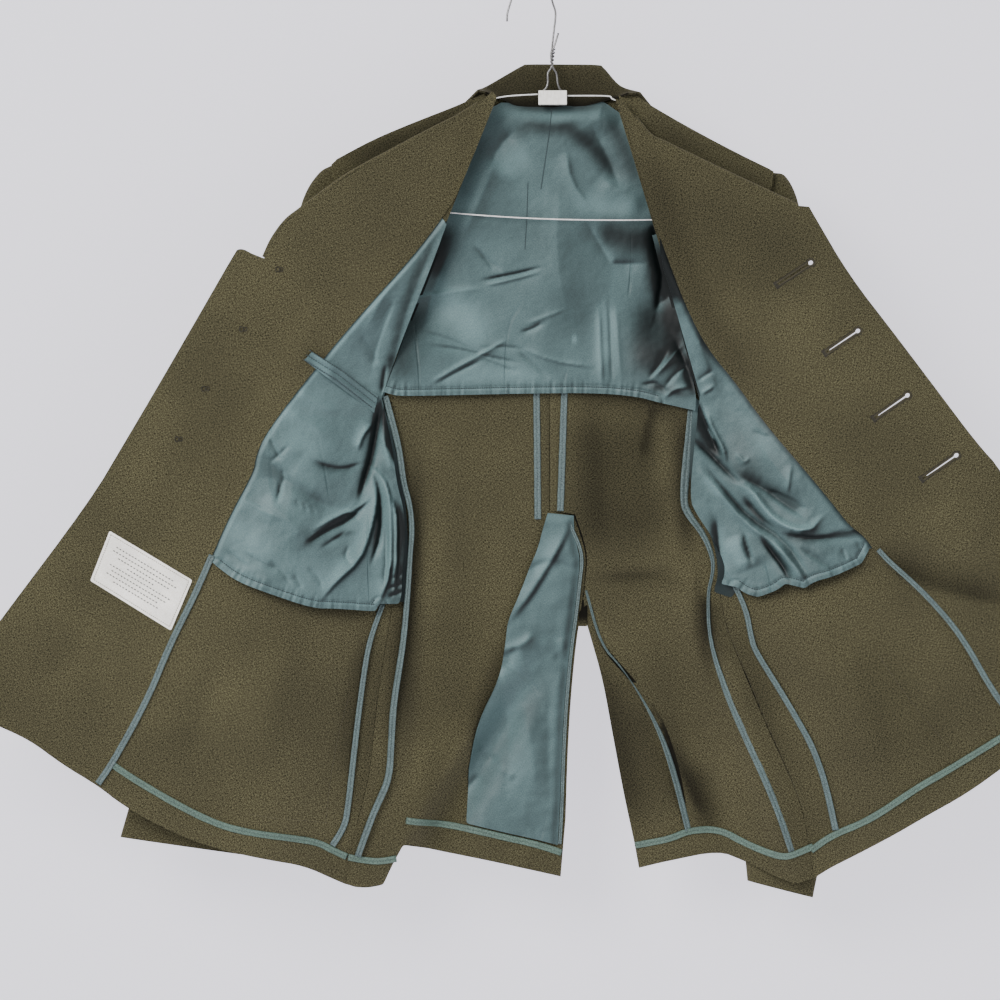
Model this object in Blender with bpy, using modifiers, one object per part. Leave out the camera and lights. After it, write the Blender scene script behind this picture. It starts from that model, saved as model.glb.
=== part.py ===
# A wool dress tunic on a wire hanger, hung open so that its inside shows.
#
# Sizes are in millimetres until the last step, which turns each piece to metres.
# The origin is the inside top of the hanger's hook. X runs to the viewer's right,
# Z runs up and Y runs away from the viewer, towards the wall behind the tunic.
# "right" and "left" in the names are the wearer's: the right front has the buttons
# and is on the viewer's left.
#
# Every flat piece is cut from its outline, seen from the front, and is then bent
# over a surface that gives the depth of the cloth at each place. Pieces that lie
# on one another share that surface and are moved out from it.

import math

import bmesh
import bpy
import numpy as np
from mathutils import Matrix, Vector

for leftover in list(bpy.data.objects):
    bpy.data.objects.remove(leftover)

MM = 0.001

# ---------------------------------------------------------------- sizes, in mm
SHELL = 1.6            # wool of the fronts and back
FACING = 1.2           # wool sewn on the inside of a front
LINING = 1.0
TAPE = 1.0
GAP = 0.4              # between one piece and the next
TAPE_WIDTH = 6.4
CELL = 26.0            # lattice that bends all the large pieces

WIRE_RADIUS = 1.1
BUTTON_RADIUS = 11.0
BUTTON_HEIGHT = 4.5
SMALL_BUTTON_RADIUS = 8.0

ON_SHELL = GAP                       # first layer on the inside
ON_FACING = GAP + FACING + GAP       # second layer, on a facing or lining

# depth of the cloth, in mm from the plane of the hanger; the wall is at +Y
BACK_DEPTH = 13.0
SIDE_DEPTH = -2.0
SWUNG_DEPTH = -37.0
FOLD_REACH = 105.0     # how far the swung front needs to come forward
BACK_REACH = 85.0
SHOULDER_ROUND = 30.0  # how far below the shoulder line the cloth turns over

# --------------------------------------------------------------- key places
# The line where the swung front meets the rest: down the fold from the neck to
# the underarm, then down the side seam to the hem. Each row is (x, z).
NECK_Z = -115.2
UNDERARM_Z = -401.3
RIGHT_SIDE = [
    (-34.6, -115.2), (-148.8, -401.3), (-139.2, -454.1), (-132.5, -506.9), (-131.5, -550.1),
    (-135.4, -606.7), (-145.9, -666.2), (-152.6, -718.1), (-156.5, -761.3), (-164.2, -794.9),
    (-175.7, -838.1), (-180.5, -871.7),
]
LEFT_SIDE = [
    (78.7, -117.1), (164.2, -401.3), (166.1, -444.5), (169.0, -492.5), (175.7, -545.3),
    (180.5, -598.1), (188.2, -631.7), (204.5, -671.0), (223.7, -717.1), (239.0, -749.8),
    (260.2, -798.7), (270.7, -865.9),
]
CENTRE_X = 16.3

RIGHT_ROLL = [
    (-41.3, -107.5), (-53.8, -119.0), (-74.9, -132.5), (-98.9, -145.0), (-139.2, -167.0),
    (-180.5, -190.1), (-223.7, -221.8), (-239.0, -234.2), (-251.5, -251.5), (-260.2, -269.8),
]
RIGHT_EDGE = [
    (-269.2, -266.4), (-276.9, -262.1), (-283.2, -262.6), (-328.0, -340.4), (-361.6, -398.4),
    (-392.3, -450.2), (-422.9, -502.1), (-511.7, -620.0), (-562.6, -690.2),
]
RIGHT_HEM = [
    (-511.7, -717.9), (-481.1, -731.5), (-450.4, -754.6), (-416.7, -774.7), (-393.7, -793.0),
    (-357.1, -814.1), (-312.0, -833.3), (-253.4, -846.7), (-219.8, -853.4), (-190.1, -867.8),
    (-180.5, -871.7),
]
LEFT_ROLL = [
    (89.3, -117.1), (99.8, -132.5), (114.2, -150.2), (127.7, -157.4), (160.3, -173.8),
    (197.8, -192.0), (253.4, -217.9),
]
LEFT_EDGE = [
    (263.7, -221.8), (270.3, -233.3), (301.4, -286.6), (345.6, -343.7), (384.0, -394.6),
    (424.3, -448.3), (448.3, -474.2), (570.2, -668.2),
]
LEFT_HEM = [
    (505.9, -715.2), (448.3, -758.4), (413.5, -783.4), (374.3, -805.0), (335.0, -828.5),
    (301.4, -847.7), (287.0, -855.4), (270.7, -865.9),
]

RIGHT_FACING_EDGE = [
    (-34.6, -115.2), (-70.1, -204.5), (-82.6, -225.6), (-108.5, -260.2), (-124.8, -279.4),
    (-148.8, -306.2), (-176.6, -337.9), (-200.6, -366.7), (-255.4, -436.8), (-265.9, -462.7),
    (-266.4, -473.3), (-290.3, -517.4), (-306.2, -553.9), (-321.9, -590.9), (-346.6, -639.8),
    (-367.7, -692.2), (-401.3, -753.1), (-416.6, -774.7),
]
LEFT_FACING_EDGE = [
    (78.7, -117.1), (90.8, -144.6), (102.7, -187.2), (115.2, -233.3), (127.7, -266.9),
    (145.9, -315.8), (167.0, -356.2), (194.9, -389.8), (220.8, -427.2), (259.2, -473.3),
    (287.0, -506.4), (302.4, -527.0), (315.8, -535.7), (331.2, -557.8), (354.2, -577.9),
    (378.2, -601.0), (406.1, -633.6), (433.0, -681.6), (448.3, -703.7), (481.0, -733.4),
]

RIGHT_SHOULDER_LINE = [
    (-47.0, -111.4), (-74.9, -123.8), (-98.9, -133.0), (-127.7, -144.5), (-156.5, -157.0),
    (-189.1, -174.7),
]
LEFT_SHOULDER_LINE = [
    (105.6, -117.1), (109.4, -120.5), (150.7, -144.5), (197.8, -169.4), (228.5, -184.3),
]
RIGHT_ARMHOLE = [
    (-189.1, -174.7), (-188.5, -192.0), (-180.2, -242.9), (-168.8, -310.1), (-162.4, -346.6),
    (-137.8, -373.4), (-144.0, -396.5),
]
LEFT_ARMHOLE = [
    (228.5, -184.3), (225.6, -204.5), (211.2, -252.5), (193.8, -310.1), (182.9, -346.6),
    (154.6, -373.4), (159.8, -396.5),
]

# tapes bound over the raw edges of the seams, as centre lines
RIGHT_FRONT_TAPE = [
    (-148.2, -612.5), (-156.9, -636.5), (-162.2, -666.2), (-169.0, -718.1), (-173.8, -761.3),
    (-177.6, -794.9), (-180.9, -816.0), (-189.1, -828.5),
]
RIGHT_BACK_TAPE = [
    (-141.1, -406.1), (-128.6, -451.2), (-124.8, -484.8), (-118.1, -507.8), (-116.2, -531.8),
    (-118.1, -553.9), (-119.5, -577.9), (-121.0, -598.1), (-124.2, -635.5), (-129.6, -670.1),
    (-134.4, -700.8), (-136.3, -735.4), (-138.2, -769.9), (-148.2, -792.0), (-155.5, -808.3),
    (-165.1, -835.2),
]
LEFT_FRONT_TAPE = [
    (196.8, -590.4), (204.5, -605.8), (210.2, -636.5), (214.1, -648.0), (237.1, -684.5),
    (256.3, -717.1), (268.8, -740.2), (280.3, -771.8), (289.0, -811.2),
]
LEFT_BACK_TAPE = [
    (151.7, -419.5), (148.8, -458.9), (145.0, -501.1), (147.8, -513.6), (165.1, -535.7),
    (173.8, -559.7), (172.8, -574.1), (168.0, -592.3), (169.4, -636.5), (185.3, -686.4),
    (204.5, -730.6), (223.7, -771.8), (237.1, -804.5), (245.8, -830.4),
]

# Folds of the cloth, as ridges (towards the viewer) and troughs (away). Each is a
# soft line from one place to another.
#        from          to         half-width  height
FOLDS = [
    ((-37.4, -684.5), (-139.2, -853.4), 15.0, 13.0),
    ((-8.6, -684.5), (-97.0, -838.1), 17.0, -13.0),
    ((-118.1, -607.7), (-131.5, -770.9), 13.0, 5.0),
    ((-103.7, -636.5), (-116.2, -751.7), 14.0, -6.0),
    ((166.1, -598.1), (244.8, -838.1), 14.0, 9.0),
    ((137.3, -617.3), (175.7, -838.1), 20.0, -7.0),
    ((102.7, -636.5), (133.4, -838.1), 16.0, 5.0),
    ((102.7, -434.9), (54.7, -636.5), 30.0, 4.0),
    ((333.1, -569.3), (438.7, -559.7), 16.0, -4.0),
    ((64.3, -252.5), (150.7, -367.7), 22.0, -4.0),
]

# hem of the back, from the side seam to the vent, and the vent's two edges
BACK_HEM_RIGHT = [
    (-170.9, -874.6), (-159.4, -875.5), (-144.0, -872.6), (-136.3, -855.4), (-124.8, -834.2),
    (-79.7, -842.9), (-31.7, -852.5), (26.9, -865.6),
]
BACK_HEM_LEFT = [
    (252.0, -871.7), (234.2, -865.0), (218.9, -857.3), (202.1, -849.6), (179.5, -841.0),
    (131.5, -850.1), (102.4, -857.3),
]
VENT_RIGHT_FLAP = [
    (39.4, -517.4), (48.0, -541.4), (51.5, -558.7), (49.5, -577.9), (46.1, -611.5),
    (41.3, -643.2), (36.5, -695.0), (33.6, -746.9), (31.7, -809.3),
]
VENT_LEFT_FLAP = [
    (40.8, -515.9), (49.3, -540.5), (52.8, -558.7), (50.9, -577.9), (48.5, -609.6),
    (56.6, -636.5), (67.2, -673.9), (77.8, -732.5), (88.3, -788.6), (97.9, -832.3),
]

# linings
RIGHT_LINING_HEM = [
    (-302.4, -565.4), (-283.2, -579.8), (-249.6, -592.3), (-209.3, -605.8), (-191.0, -605.8),
    (-151.7, -609.1), (-146.9, -601.9), (-128.6, -601.9), (-126.2, -592.3), (-126.2, -577.9),
    (-123.8, -553.9), (-122.4, -531.8), (-124.3, -509.8), (-131.0, -485.8), (-134.9, -452.2),
    (-142.1, -419.5),
]
LEFT_LINING_HEM = [
    (321.6, -548.2), (313.9, -562.6), (287.0, -575.0), (267.8, -579.8), (259.2, -586.6),
    (241.0, -581.8), (233.3, -588.5), (215.6, -595.2), (204.5, -592.3), (194.9, -585.6),
    (180.5, -582.7), (184.3, -574.1), (183.8, -561.6), (172.8, -538.6), (156.5, -514.6),
    (150.7, -501.1), (154.1, -458.9), (158.4, -425.3),
]
BACK_LINING = [
    (-31.7, -121.9), (-12.5, -126.2), (16.3, -127.2), (45.1, -126.2), (66.2, -121.9),
    (85.4, -129.6), (109.4, -187.2), (133.4, -266.9), (135.4, -310.1), (157.4, -398.4),
    (156.0, -416.2), (118.1, -407.6), (101.8, -402.8), (64.3, -398.9), (-7.7, -399.4),
    (-105.6, -401.8), (-131.5, -402.2), (-143.0, -398.4), (-111.4, -310.1), (-104.6, -266.9),
    (-73.0, -187.2), (-49.9, -129.6),
]
VENT_COVER = [
    (14.4, -514.6), (34.6, -516.5), (34.6, -528.0), (42.2, -545.3), (45.7, -559.7),
    (43.8, -577.9), (40.3, -611.5), (35.5, -643.2), (30.7, -695.0), (27.8, -746.9),
    (25.9, -801.6), (24.0, -835.2), (6.7, -830.4), (-31.7, -821.8), (-64.3, -814.1),
    (-61.4, -762.2), (-52.8, -716.2), (-31.7, -673.9), (-25.9, -636.5), (-24.5, -619.2),
    (-12.5, -592.3), (-2.9, -566.4), (4.8, -549.1), (9.6, -529.9),
]
POCKET_STRAP = [(-211.3, -360.4), (-218.7, -368.6), (-152.6, -418.3), (-148.8, -401.8)]
LABEL = [(-406.1, -531.8), (-329.3, -576.0), (-351.4, -624.0), (-424.3, -578.9)]

CENTRE_TAPE_RIGHT = [(3.6, -404.2), (4.3, -463.7), (4.8, -521.3)]
CENTRE_TAPE_LEFT = [(30.2, -404.2), (28.3, -463.7), (26.6, -509.8)]
VENT_PIPING = [
    (38.8, -529.9), (45.7, -544.3), (49.0, -559.7), (46.7, -577.9), (43.2, -611.5),
    (38.4, -643.2), (33.6, -695.0), (30.7, -746.9), (28.8, -805.4), (26.9, -836.2),
]
VENT_EDGE_TAPE = [
    (54.7, -601.9), (65.3, -641.3), (86.4, -664.3), (106.6, -695.0), (124.8, -730.6),
    (137.3, -769.0), (147.8, -811.2),
]
HEM_TAPE_FRONT_RIGHT = [
    (-398.4, -757.4), (-386.3, -766.1), (-339.3, -793.9), (-306.2, -810.2), (-278.4, -818.9),
    (-219.8, -828.1), (-204.5, -832.0), (-194.3, -838.1), (-184.3, -842.9),
]
HEM_TAPE_SIDE_RIGHT = [(-172.8, -846.7), (-151.2, -850.6), (-139.2, -848.6)]
HEM_TAPE_BACK_RIGHT = [
    (-117.1, -811.2), (-69.1, -817.9), (-31.7, -826.6), (6.7, -835.2), (25.9, -841.9),
]
HEM_TAPE_FRONT_LEFT = [
    (275.5, -833.3), (287.0, -824.6), (321.6, -809.3), (362.9, -779.5), (393.6, -762.2),
    (448.3, -728.6), (457.0, -722.9),
]
HEM_TAPE_BACK_LEFT = [
    (102.7, -834.7), (131.5, -829.4), (150.2, -821.3), (179.5, -819.8), (204.0, -832.8),
    (223.7, -841.0), (238.1, -845.3), (247.7, -844.8), (261.1, -839.0),
]
FACING_TAPE_TOP = -553.0

# lapels: place on the roll line and how far the leaf reaches behind the front
ROLL_INSET = 3.2
RIGHT_LAPEL = [((-53.8, -119.0), 4.0), ((-74.9, -132.5), 14.0), ((-98.9, -145.0), 34.0),
               ((-139.2, -167.0), 66.0), ((-180.5, -190.1), 62.0), ((-223.7, -221.8), 42.0),
               ((-239.0, -234.2), 32.0), ((-251.5, -251.5), 16.0), ((-259.7, -268.8), 5.0)]
LEFT_LAPEL = [((99.8, -132.5), 4.0), ((114.2, -150.2), 12.0), ((129.6, -158.4), 26.0),
              ((160.3, -173.8), 60.0), ((197.8, -192.0), 64.0), ((227.5, -205.9), 42.0),
              ((253.4, -217.9), 8.0)]

# collar: seam at the neck, fold on top and end of the leaf; each is (x, z, y)
COLLAR = [
    ((-44.2, -109.9, -9.0), (-53.8, -107.5, -6.0), (-76.8, -128.6, 18.0)),
    ((-31.7, -114.2, 5.0), (-41.3, -99.8, 7.0), (-67.2, -134.4, 21.0)),
    ((-11.5, -121.9, 10.4), (-18.2, -86.4, 10.0), (-31.7, -135.4, 23.0)),
    ((16.3, -122.9, 11.4), (16.3, -81.1, 11.0), (16.3, -136.3, 23.5)),
    ((48.0, -121.9, 10.4), (68.2, -84.0, 10.0), (75.8, -135.4, 23.0)),
    ((75.8, -115.2, 5.0), (90.2, -102.7, 7.0), (114.2, -135.4, 21.0)),
    ((90.2, -110.9, -9.0), (103.7, -109.9, -6.0), (129.6, -139.2, 18.0)),
]

# sleeves: outer edge, inner edge, half of the depth and depth of the middle. Each is
# cut in two, the wide topsleeve and the flatter undersleeve on the wearer's back side.
SLEEVE_SEAMS = (35.0, 145.0)    # where the two seams are round a ring, in degrees
SLEEVE_SQUARE = 0.5              # 1 for an oval ring, less for a squarer one
SLEEVE_GAP = 0.3                 # half of the gap at a seam
RIGHT_SLEEVE = [
    ((-192.0, -178.6), (-155.5, -392.6), 8.5, 5.0),
    ((-206.4, -187.2), (-160.3, -402.2), 10.0, 5.5),
    ((-220.8, -210.2), (-168.0, -417.6), 11.0, 6.0),
    ((-232.3, -252.5), (-176.6, -444.5), 11.0, 6.0),
    ((-250.6, -319.7), (-185.3, -492.5), 11.0, 6.0),
    ((-281.3, -425.3), (-197.8, -559.7), 11.0, 6.0),
    ((-314.9, -540.5), (-213.1, -641.3), 10.5, 6.0),
    ((-353.3, -674.9), (-233.3, -744.0), 10.0, 5.0),
    ((-377.3, -756.5), (-245.8, -795.8), 9.5, 4.0),
    ((-397.4, -826.6), (-255.4, -846.7), 9.0, 3.0),
]
LEFT_SLEEVE = [
    ((231.4, -188.2), (169.9, -392.6), 8.5, 5.0),
    ((243.8, -192.0), (175.7, -404.2), 10.0, 6.0),
    ((255.4, -214.1), (181.4, -419.5), 11.0, 7.0),
    ((264.0, -262.1), (187.2, -454.1), 11.0, 8.0),
    ((275.5, -348.5), (192.0, -521.3), 11.0, 10.0),
    ((287.0, -454.1), (196.8, -598.1), 11.0, 13.0),
    ((292.8, -569.3), (200.6, -684.5), 10.5, 17.0),
    ((292.8, -694.1), (203.5, -770.9), 10.0, 20.0),
    ((287.0, -799.7), (204.5, -833.3), 10.0, 21.0),
    ((270.7, -886.1), (207.4, -869.8), 10.0, 20.0),
]

POCKETS = [
    ("right", "right front",
     [(-298.6, -641.3), (-174.7, -659.5), (-188.2, -731.5), (-198.7, -811.2), (-251.5, -805.4), (-314.9, -787.2)],
     [(-304.3, -626.9), (-169.0, -648.0), (-175.7, -690.2), (-238.1, -694.1), (-310.1, -671.0)]),
    ("left", "left front",
     [(232.3, -650.9), (321.6, -628.8), (397.4, -738.2), (300.5, -795.8)],
     [(226.6, -636.5), (326.4, -611.5), (351.4, -646.1), (301.4, -680.6), (243.8, -682.6)]),
]

BUTTONS = [(-242.6, -281.7), (-277.2, -338.9), (-313.3, -395.8), (-338.7, -443.9)]
FLAP_BUTTONS = [("right", (-240.0, -672.0)), ("left", (292.8, -659.5))]
BUTTONHOLES = [
    ((267.6, -273.7), (232.7, -296.6)),
    ((312.6, -338.9), (278.6, -361.8)),
    ((360.0, -400.4), (325.4, -424.3)),
    ((406.8, -457.7), (371.3, -482.1)),
]
HOLE_WIDTH = 1.8
EYE_RADIUS = 2.6

# hanger wires, as (x, y, z) places along their middles
HOOK = [
    (-25.0, 0.0, -41.3), (-24.5, 0.0, -33.6), (-22.1, 0.0, -25.0), (-18.7, 0.0, -15.4),
    (-13.4, 0.0, -6.7), (-6.7, 0.0, -1.0), (0.0, 0.0, 1.1), (6.7, 0.0, -1.0), (13.0, 0.0, -6.7),
    (16.8, 0.0, -15.4), (19.2, 0.0, -24.0), (21.6, 0.0, -31.7), (21.6, 0.0, -39.4),
    (20.2, 0.0, -50.9), (18.2, 0.0, -70.1), (18.2, 0.0, -80.6), (14.9, 0.0, -91.2),
    (13.9, 0.0, -100.8), (12.0, 0.0, -107.4),
]
STUB = [
    (24.5, -2.8, -52.8), (20.6, -2.8, -65.3), (17.3, -2.8, -72.0), (20.2, -2.8, -80.6),
    (23.0, -2.8, -95.0), (24.5, -2.8, -102.7), (26.4, -2.8, -107.4),
]
FRAME = [
    (4.7, 0.0, -111.4), (-12.5, 0.0, -112.3), (-29.3, 0.0, -113.9), (-50.9, 0.0, -119.0),
    (-74.9, 0.0, -128.3), (-98.9, 0.0, -137.8), (-127.7, 0.0, -149.3), (-156.5, 0.0, -161.8),
    (-171.8, 0.0, -169.4), (-178.1, 0.0, -175.7), (-179.0, 0.0, -185.3), (-175.7, 0.0, -195.8),
    (-168.0, 0.0, -203.5), (-127.7, 0.0, -217.0), (-82.6, 0.0, -225.1), (11.5, 0.0, -231.4),
    (114.2, 0.0, -232.3), (179.5, 0.0, -227.5), (205.4, 0.0, -219.8), (215.0, 0.0, -211.2),
    (217.9, 0.0, -199.7), (215.0, 0.0, -187.2), (207.4, 0.0, -179.0), (197.8, 0.0, -174.2),
    (150.7, 0.0, -149.3), (102.7, 0.0, -125.8), (77.8, 0.0, -116.4), (71.0, 0.0, -113.1),
    (33.2, 0.0, -112.8),
]
CLIP = ((5.3, -121.6), (32.6, -108.1))
CLIP_DEPTH = 9.0

# ------------------------------------------------------------------ materials
#           colour (linear)         roughness  metallic
MATERIALS = {
    "wool": ((0.080, 0.070, 0.038), 0.9, 0.0),
    "lining": ((0.095, 0.170, 0.175), 0.35, 0.0),
    "tape": ((0.150, 0.240, 0.220), 0.6, 0.0),
    "label": ((0.750, 0.730, 0.660), 0.7, 0.0),
    "wire": ((0.550, 0.550, 0.540), 0.3, 1.0),
    "clip": ((0.800, 0.790, 0.750), 0.5, 0.0),
    "brass": ((0.600, 0.430, 0.160), 0.3, 1.0),
}


# ------------------------------------------------------------- depth of cloth
def smooth(t):
    """0 below 0, 1 above 1 and a soft S between them."""
    t = min(max(t, 0.0), 1.0)
    return t * t * (3.0 - 2.0 * t)


def mix(a, b, t):
    return a + (b - a) * t


def x_on(line, z):
    """Where a line that runs downwards is, at the height z."""
    heights = [-p[1] for p in line]
    return float(np.interp(-z, heights, [p[0] for p in line]))


def z_on(line, x):
    """How high a line that runs sideways is, at the place x."""
    points = sorted(line)
    return float(np.interp(x, [p[0] for p in points], [p[1] for p in points]))


def fold_depth(x, z):
    """Sum of the ridges and troughs at one place."""
    total = 0.0
    for (x0, z0), (x1, z1), width, height in FOLDS:
        along_x = x1 - x0
        along_z = z1 - z0
        length = math.hypot(along_x, along_z)
        along = ((x - x0) * along_x + (z - z0) * along_z) / length
        across = ((x - x0) * along_z - (z - z0) * along_x) / length
        ends = smooth((along + 60.0) / 120.0) * smooth((length + 60.0 - along) / 120.0)
        total -= height * ends * math.exp(-(across / width) ** 2)
    return total


def seam_depth(z):
    """Depth of the fold down to the underarm, and of the side seam under it."""
    upper = smooth((NECK_Z - z) / 60.0)
    lower = smooth((UNDERARM_Z + 110.0 - z) / 110.0)
    hem = smooth((UNDERARM_Z - z) / 260.0)
    depth = mix(-15.0, -22.0, upper)
    depth = mix(depth, SIDE_DEPTH, lower)
    return mix(depth, -3.0, hem)


def swung_depth(x, z, side, outward):
    """Inside face of a front that is swung open. outward is -1 or +1 in X."""
    reach = (x - x_on(side, z)) * outward
    depth = mix(seam_depth(z), SWUNG_DEPTH, smooth(reach / FOLD_REACH))
    return depth + fold_depth(x, z) * smooth((UNDERARM_Z + 60.0 - z) / 100.0)


def shoulder_turn(dist):
    """How far the cloth is from the shoulder's top, from 0 to 1, dist below it."""
    if dist < 0.0:
        return dist * 0.5 * math.pi / SHOULDER_ROUND
    return math.sin(0.5 * math.pi * min(dist / SHOULDER_ROUND, 1.0))


def back_depth(x, z):
    """Inside face of the back."""
    is_right = x < CENTRE_X
    side = RIGHT_SIDE if is_right else LEFT_SIDE
    outward = -1.0 if is_right else 1.0
    inward = (x_on(side, z) - x) * outward
    if inward < 0.0 and z < UNDERARM_Z:
        return swung_depth(x, z, side, outward)
    above = smooth((z - UNDERARM_Z) / 90.0)
    at_side = mix(seam_depth(z), BACK_DEPTH, above)
    depth = mix(at_side, BACK_DEPTH, smooth(inward / BACK_REACH))
    depth += fold_depth(x, z)
    line = RIGHT_SHOULDER_LINE if is_right else LEFT_SHOULDER_LINE
    past_neck = max(0.0, (line[0][0] - x) * outward)
    return mix(1.6, depth, shoulder_turn(z_on(line, x) - z + 1.5 * past_neck))


def right_front_depth(x, z):
    if z < UNDERARM_Z and x > x_on(RIGHT_SIDE, z):
        return back_depth(x, z)
    return swung_depth(x, z, RIGHT_SIDE, -1.0)


def left_front_depth(x, z):
    if z < UNDERARM_Z and x < x_on(LEFT_SIDE, z):
        return back_depth(x, z)
    return swung_depth(x, z, LEFT_SIDE, 1.0)


def shoulder_depth(x, z):
    """Outside of the part of a front that stays on the hanger."""
    is_right = x < CENTRE_X
    side = RIGHT_SIDE if is_right else LEFT_SIDE
    line = RIGHT_SHOULDER_LINE if is_right else LEFT_SHOULDER_LINE
    reach = abs(x - x_on(side, z))
    flat = mix(-9.0, 0.0, smooth((UNDERARM_Z + 150.0 - z) / 90.0))
    depth = mix(seam_depth(z) + 2.05, flat, smooth(reach / 18.0))
    return mix(-3.6, depth, shoulder_turn(z_on(line, x) - z))


SURFACES = {
    "right front": right_front_depth,
    "left front": left_front_depth,
    "back": back_depth,
    "shoulder": shoulder_depth,
}
LATTICES = {}


def lattice_depth(surface, x, z, cell=CELL):
    """Depth on the flat triangles between the places of the lattice."""
    column = math.floor(x / cell)
    row = math.floor(z / cell)
    u = x / cell - column
    v = z / cell - row
    known = LATTICES.setdefault((surface, cell), {})
    depth_at = SURFACES[surface]
    corner = {}
    for i in (0, 1):
        for j in (0, 1):
            place = (column + i, row + j)
            if place not in known:
                known[place] = depth_at(place[0] * cell, place[1] * cell)
            corner[i, j] = known[place]
    if u >= v:
        rise_u = corner[1, 0] - corner[0, 0]
        rise_v = corner[1, 1] - corner[1, 0]
    else:
        rise_u = corner[1, 1] - corner[0, 1]
        rise_v = corner[0, 1] - corner[0, 0]
    return corner[0, 0] + rise_u * u + rise_v * v


# ------------------------------------------------------------ making of solids
def new_collection(name):
    collection = bpy.data.collections.new(name)
    bpy.context.scene.collection.children.link(collection)
    return collection


def make_material(name):
    colour, roughness, metallic = MATERIALS[name]
    material = bpy.data.materials.new(name)
    material.use_nodes = True
    shader = material.node_tree.nodes["Principled BSDF"]
    shader.inputs["Base Color"].default_value = (*colour, 1.0)
    shader.inputs["Roughness"].default_value = roughness
    shader.inputs["Metallic"].default_value = metallic
    material.diffuse_color = (*colour, 1.0)
    return material


def add_mesh(name, mesh, material):
    """A new object for a finished piece, with its own material."""
    own = make_material(material)
    own.name = name + "_" + material
    mesh.materials.clear()
    mesh.materials.append(own)
    mesh.name = name
    piece = bpy.data.objects.new(name, mesh)
    TUNIC.objects.link(piece)
    return piece


def baked(source):
    """The mesh of an object with its modifiers applied; the object goes."""
    bpy.context.view_layer.update()
    graph = bpy.context.evaluated_depsgraph_get()
    mesh = bpy.data.meshes.new_from_object(source.evaluated_get(graph))
    bpy.data.objects.remove(source)
    return mesh


def prism(outline, low, high):
    """A straight-sided cutter from a closed outline of (x, z) places."""
    curve = bpy.data.curves.new("cutter", "CURVE")
    curve.dimensions = "2D"
    curve.fill_mode = "BOTH"
    curve.extrude = (high - low) / 2.0
    spline = curve.splines.new("POLY")
    spline.points.add(len(outline) - 1)
    for point, (x, z) in zip(spline.points, outline):
        point.co = (x, z, 0.0, 1.0)
    spline.use_cyclic_u = True
    shape = bpy.data.objects.new("cutter", curve)
    CUTTERS.objects.link(shape)
    mesh = baked(shape)
    bm = bmesh.new()
    bm.from_mesh(mesh)
    bmesh.ops.remove_doubles(bm, verts=bm.verts, dist=0.0001)
    bmesh.ops.translate(bm, verts=bm.verts, vec=(0.0, 0.0, (low + high) / 2.0))
    bmesh.ops.recalc_face_normals(bm, faces=bm.faces)
    bm.to_mesh(mesh)
    bm.free()
    cutter = bpy.data.objects.new("cutter", mesh)
    CUTTERS.objects.link(cutter)
    return cutter


def slab(outline, thick, cell):
    """A flat sheet on the lattice, big enough for the outline."""
    xs = [p[0] for p in outline]
    zs = [p[1] for p in outline]
    first_x = math.floor(min(xs) / cell) - 1
    first_z = math.floor(min(zs) / cell) - 1
    columns = math.ceil(max(xs) / cell) + 1 - first_x
    rows = math.ceil(max(zs) / cell) + 1 - first_z
    bm = bmesh.new()
    grid = [[bm.verts.new(((first_x + i) * cell, (first_z + j) * cell, 0.0))
             for i in range(columns + 1)] for j in range(rows + 1)]
    for j in range(rows):
        for i in range(columns):
            a, b = grid[j][i], grid[j][i + 1]
            c, d = grid[j + 1][i + 1], grid[j + 1][i]
            bm.faces.new((a, b, c))
            bm.faces.new((a, c, d))
    mesh = bpy.data.meshes.new("slab")
    bm.to_mesh(mesh)
    bm.free()
    sheet = bpy.data.objects.new("slab", mesh)
    CUTTERS.objects.link(sheet)
    solid = sheet.modifiers.new("thickness", "SOLIDIFY")
    solid.thickness = thick
    solid.offset = 1.0
    return sheet


def cut(target, cutter, operation):
    step = target.modifiers.new(operation, "BOOLEAN")
    step.operation = operation
    step.solver = "EXACT"
    step.object = cutter


def patch(name, outline, surface, out, thick, material, holes=(), cell=CELL):
    """A sheet with this outline, bent over a surface and moved out from it.

    out is how far the sheet's wall-side face is in front of the surface.
    """
    sheet = slab(outline, thick, cell)
    cutters = [prism(outline, -5.0, thick + 5.0)]
    cut(sheet, cutters[0], "INTERSECT")
    for hole in holes:
        cutters.append(prism(hole, -5.0, thick + 5.0))
        cut(sheet, cutters[-1], "DIFFERENCE")
    mesh = baked(sheet)
    for cutter in cutters:
        bpy.data.objects.remove(cutter)
    for vertex in mesh.vertices:
        x, z, height = vertex.co
        depth = lattice_depth(surface, x, z, cell)
        vertex.co = (x * MM, (depth - out - height) * MM, z * MM)
    bm = bmesh.new()
    bm.from_mesh(mesh)
    bmesh.ops.recalc_face_normals(bm, faces=bm.faces)
    bm.to_mesh(mesh)
    bm.free()
    return add_mesh(name, mesh, material)


def strip(line, width):
    """Outline of a tape along a line."""
    left, right = [], []
    for i, (x, z) in enumerate(line):
        x0, z0 = line[max(i - 1, 0)]
        x1, z1 = line[min(i + 1, len(line) - 1)]
        length = math.hypot(x1 - x0, z1 - z0)
        across_x = -(z1 - z0) / length * width
        across_z = (x1 - x0) / length * width
        left.append((x + across_x * 0.5, z + across_z * 0.5))
        right.append((x - across_x * 0.5, z - across_z * 0.5))
    return left + right[::-1]


def moved(line, dx):
    return [(x + dx, z) for x, z in line]


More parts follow.
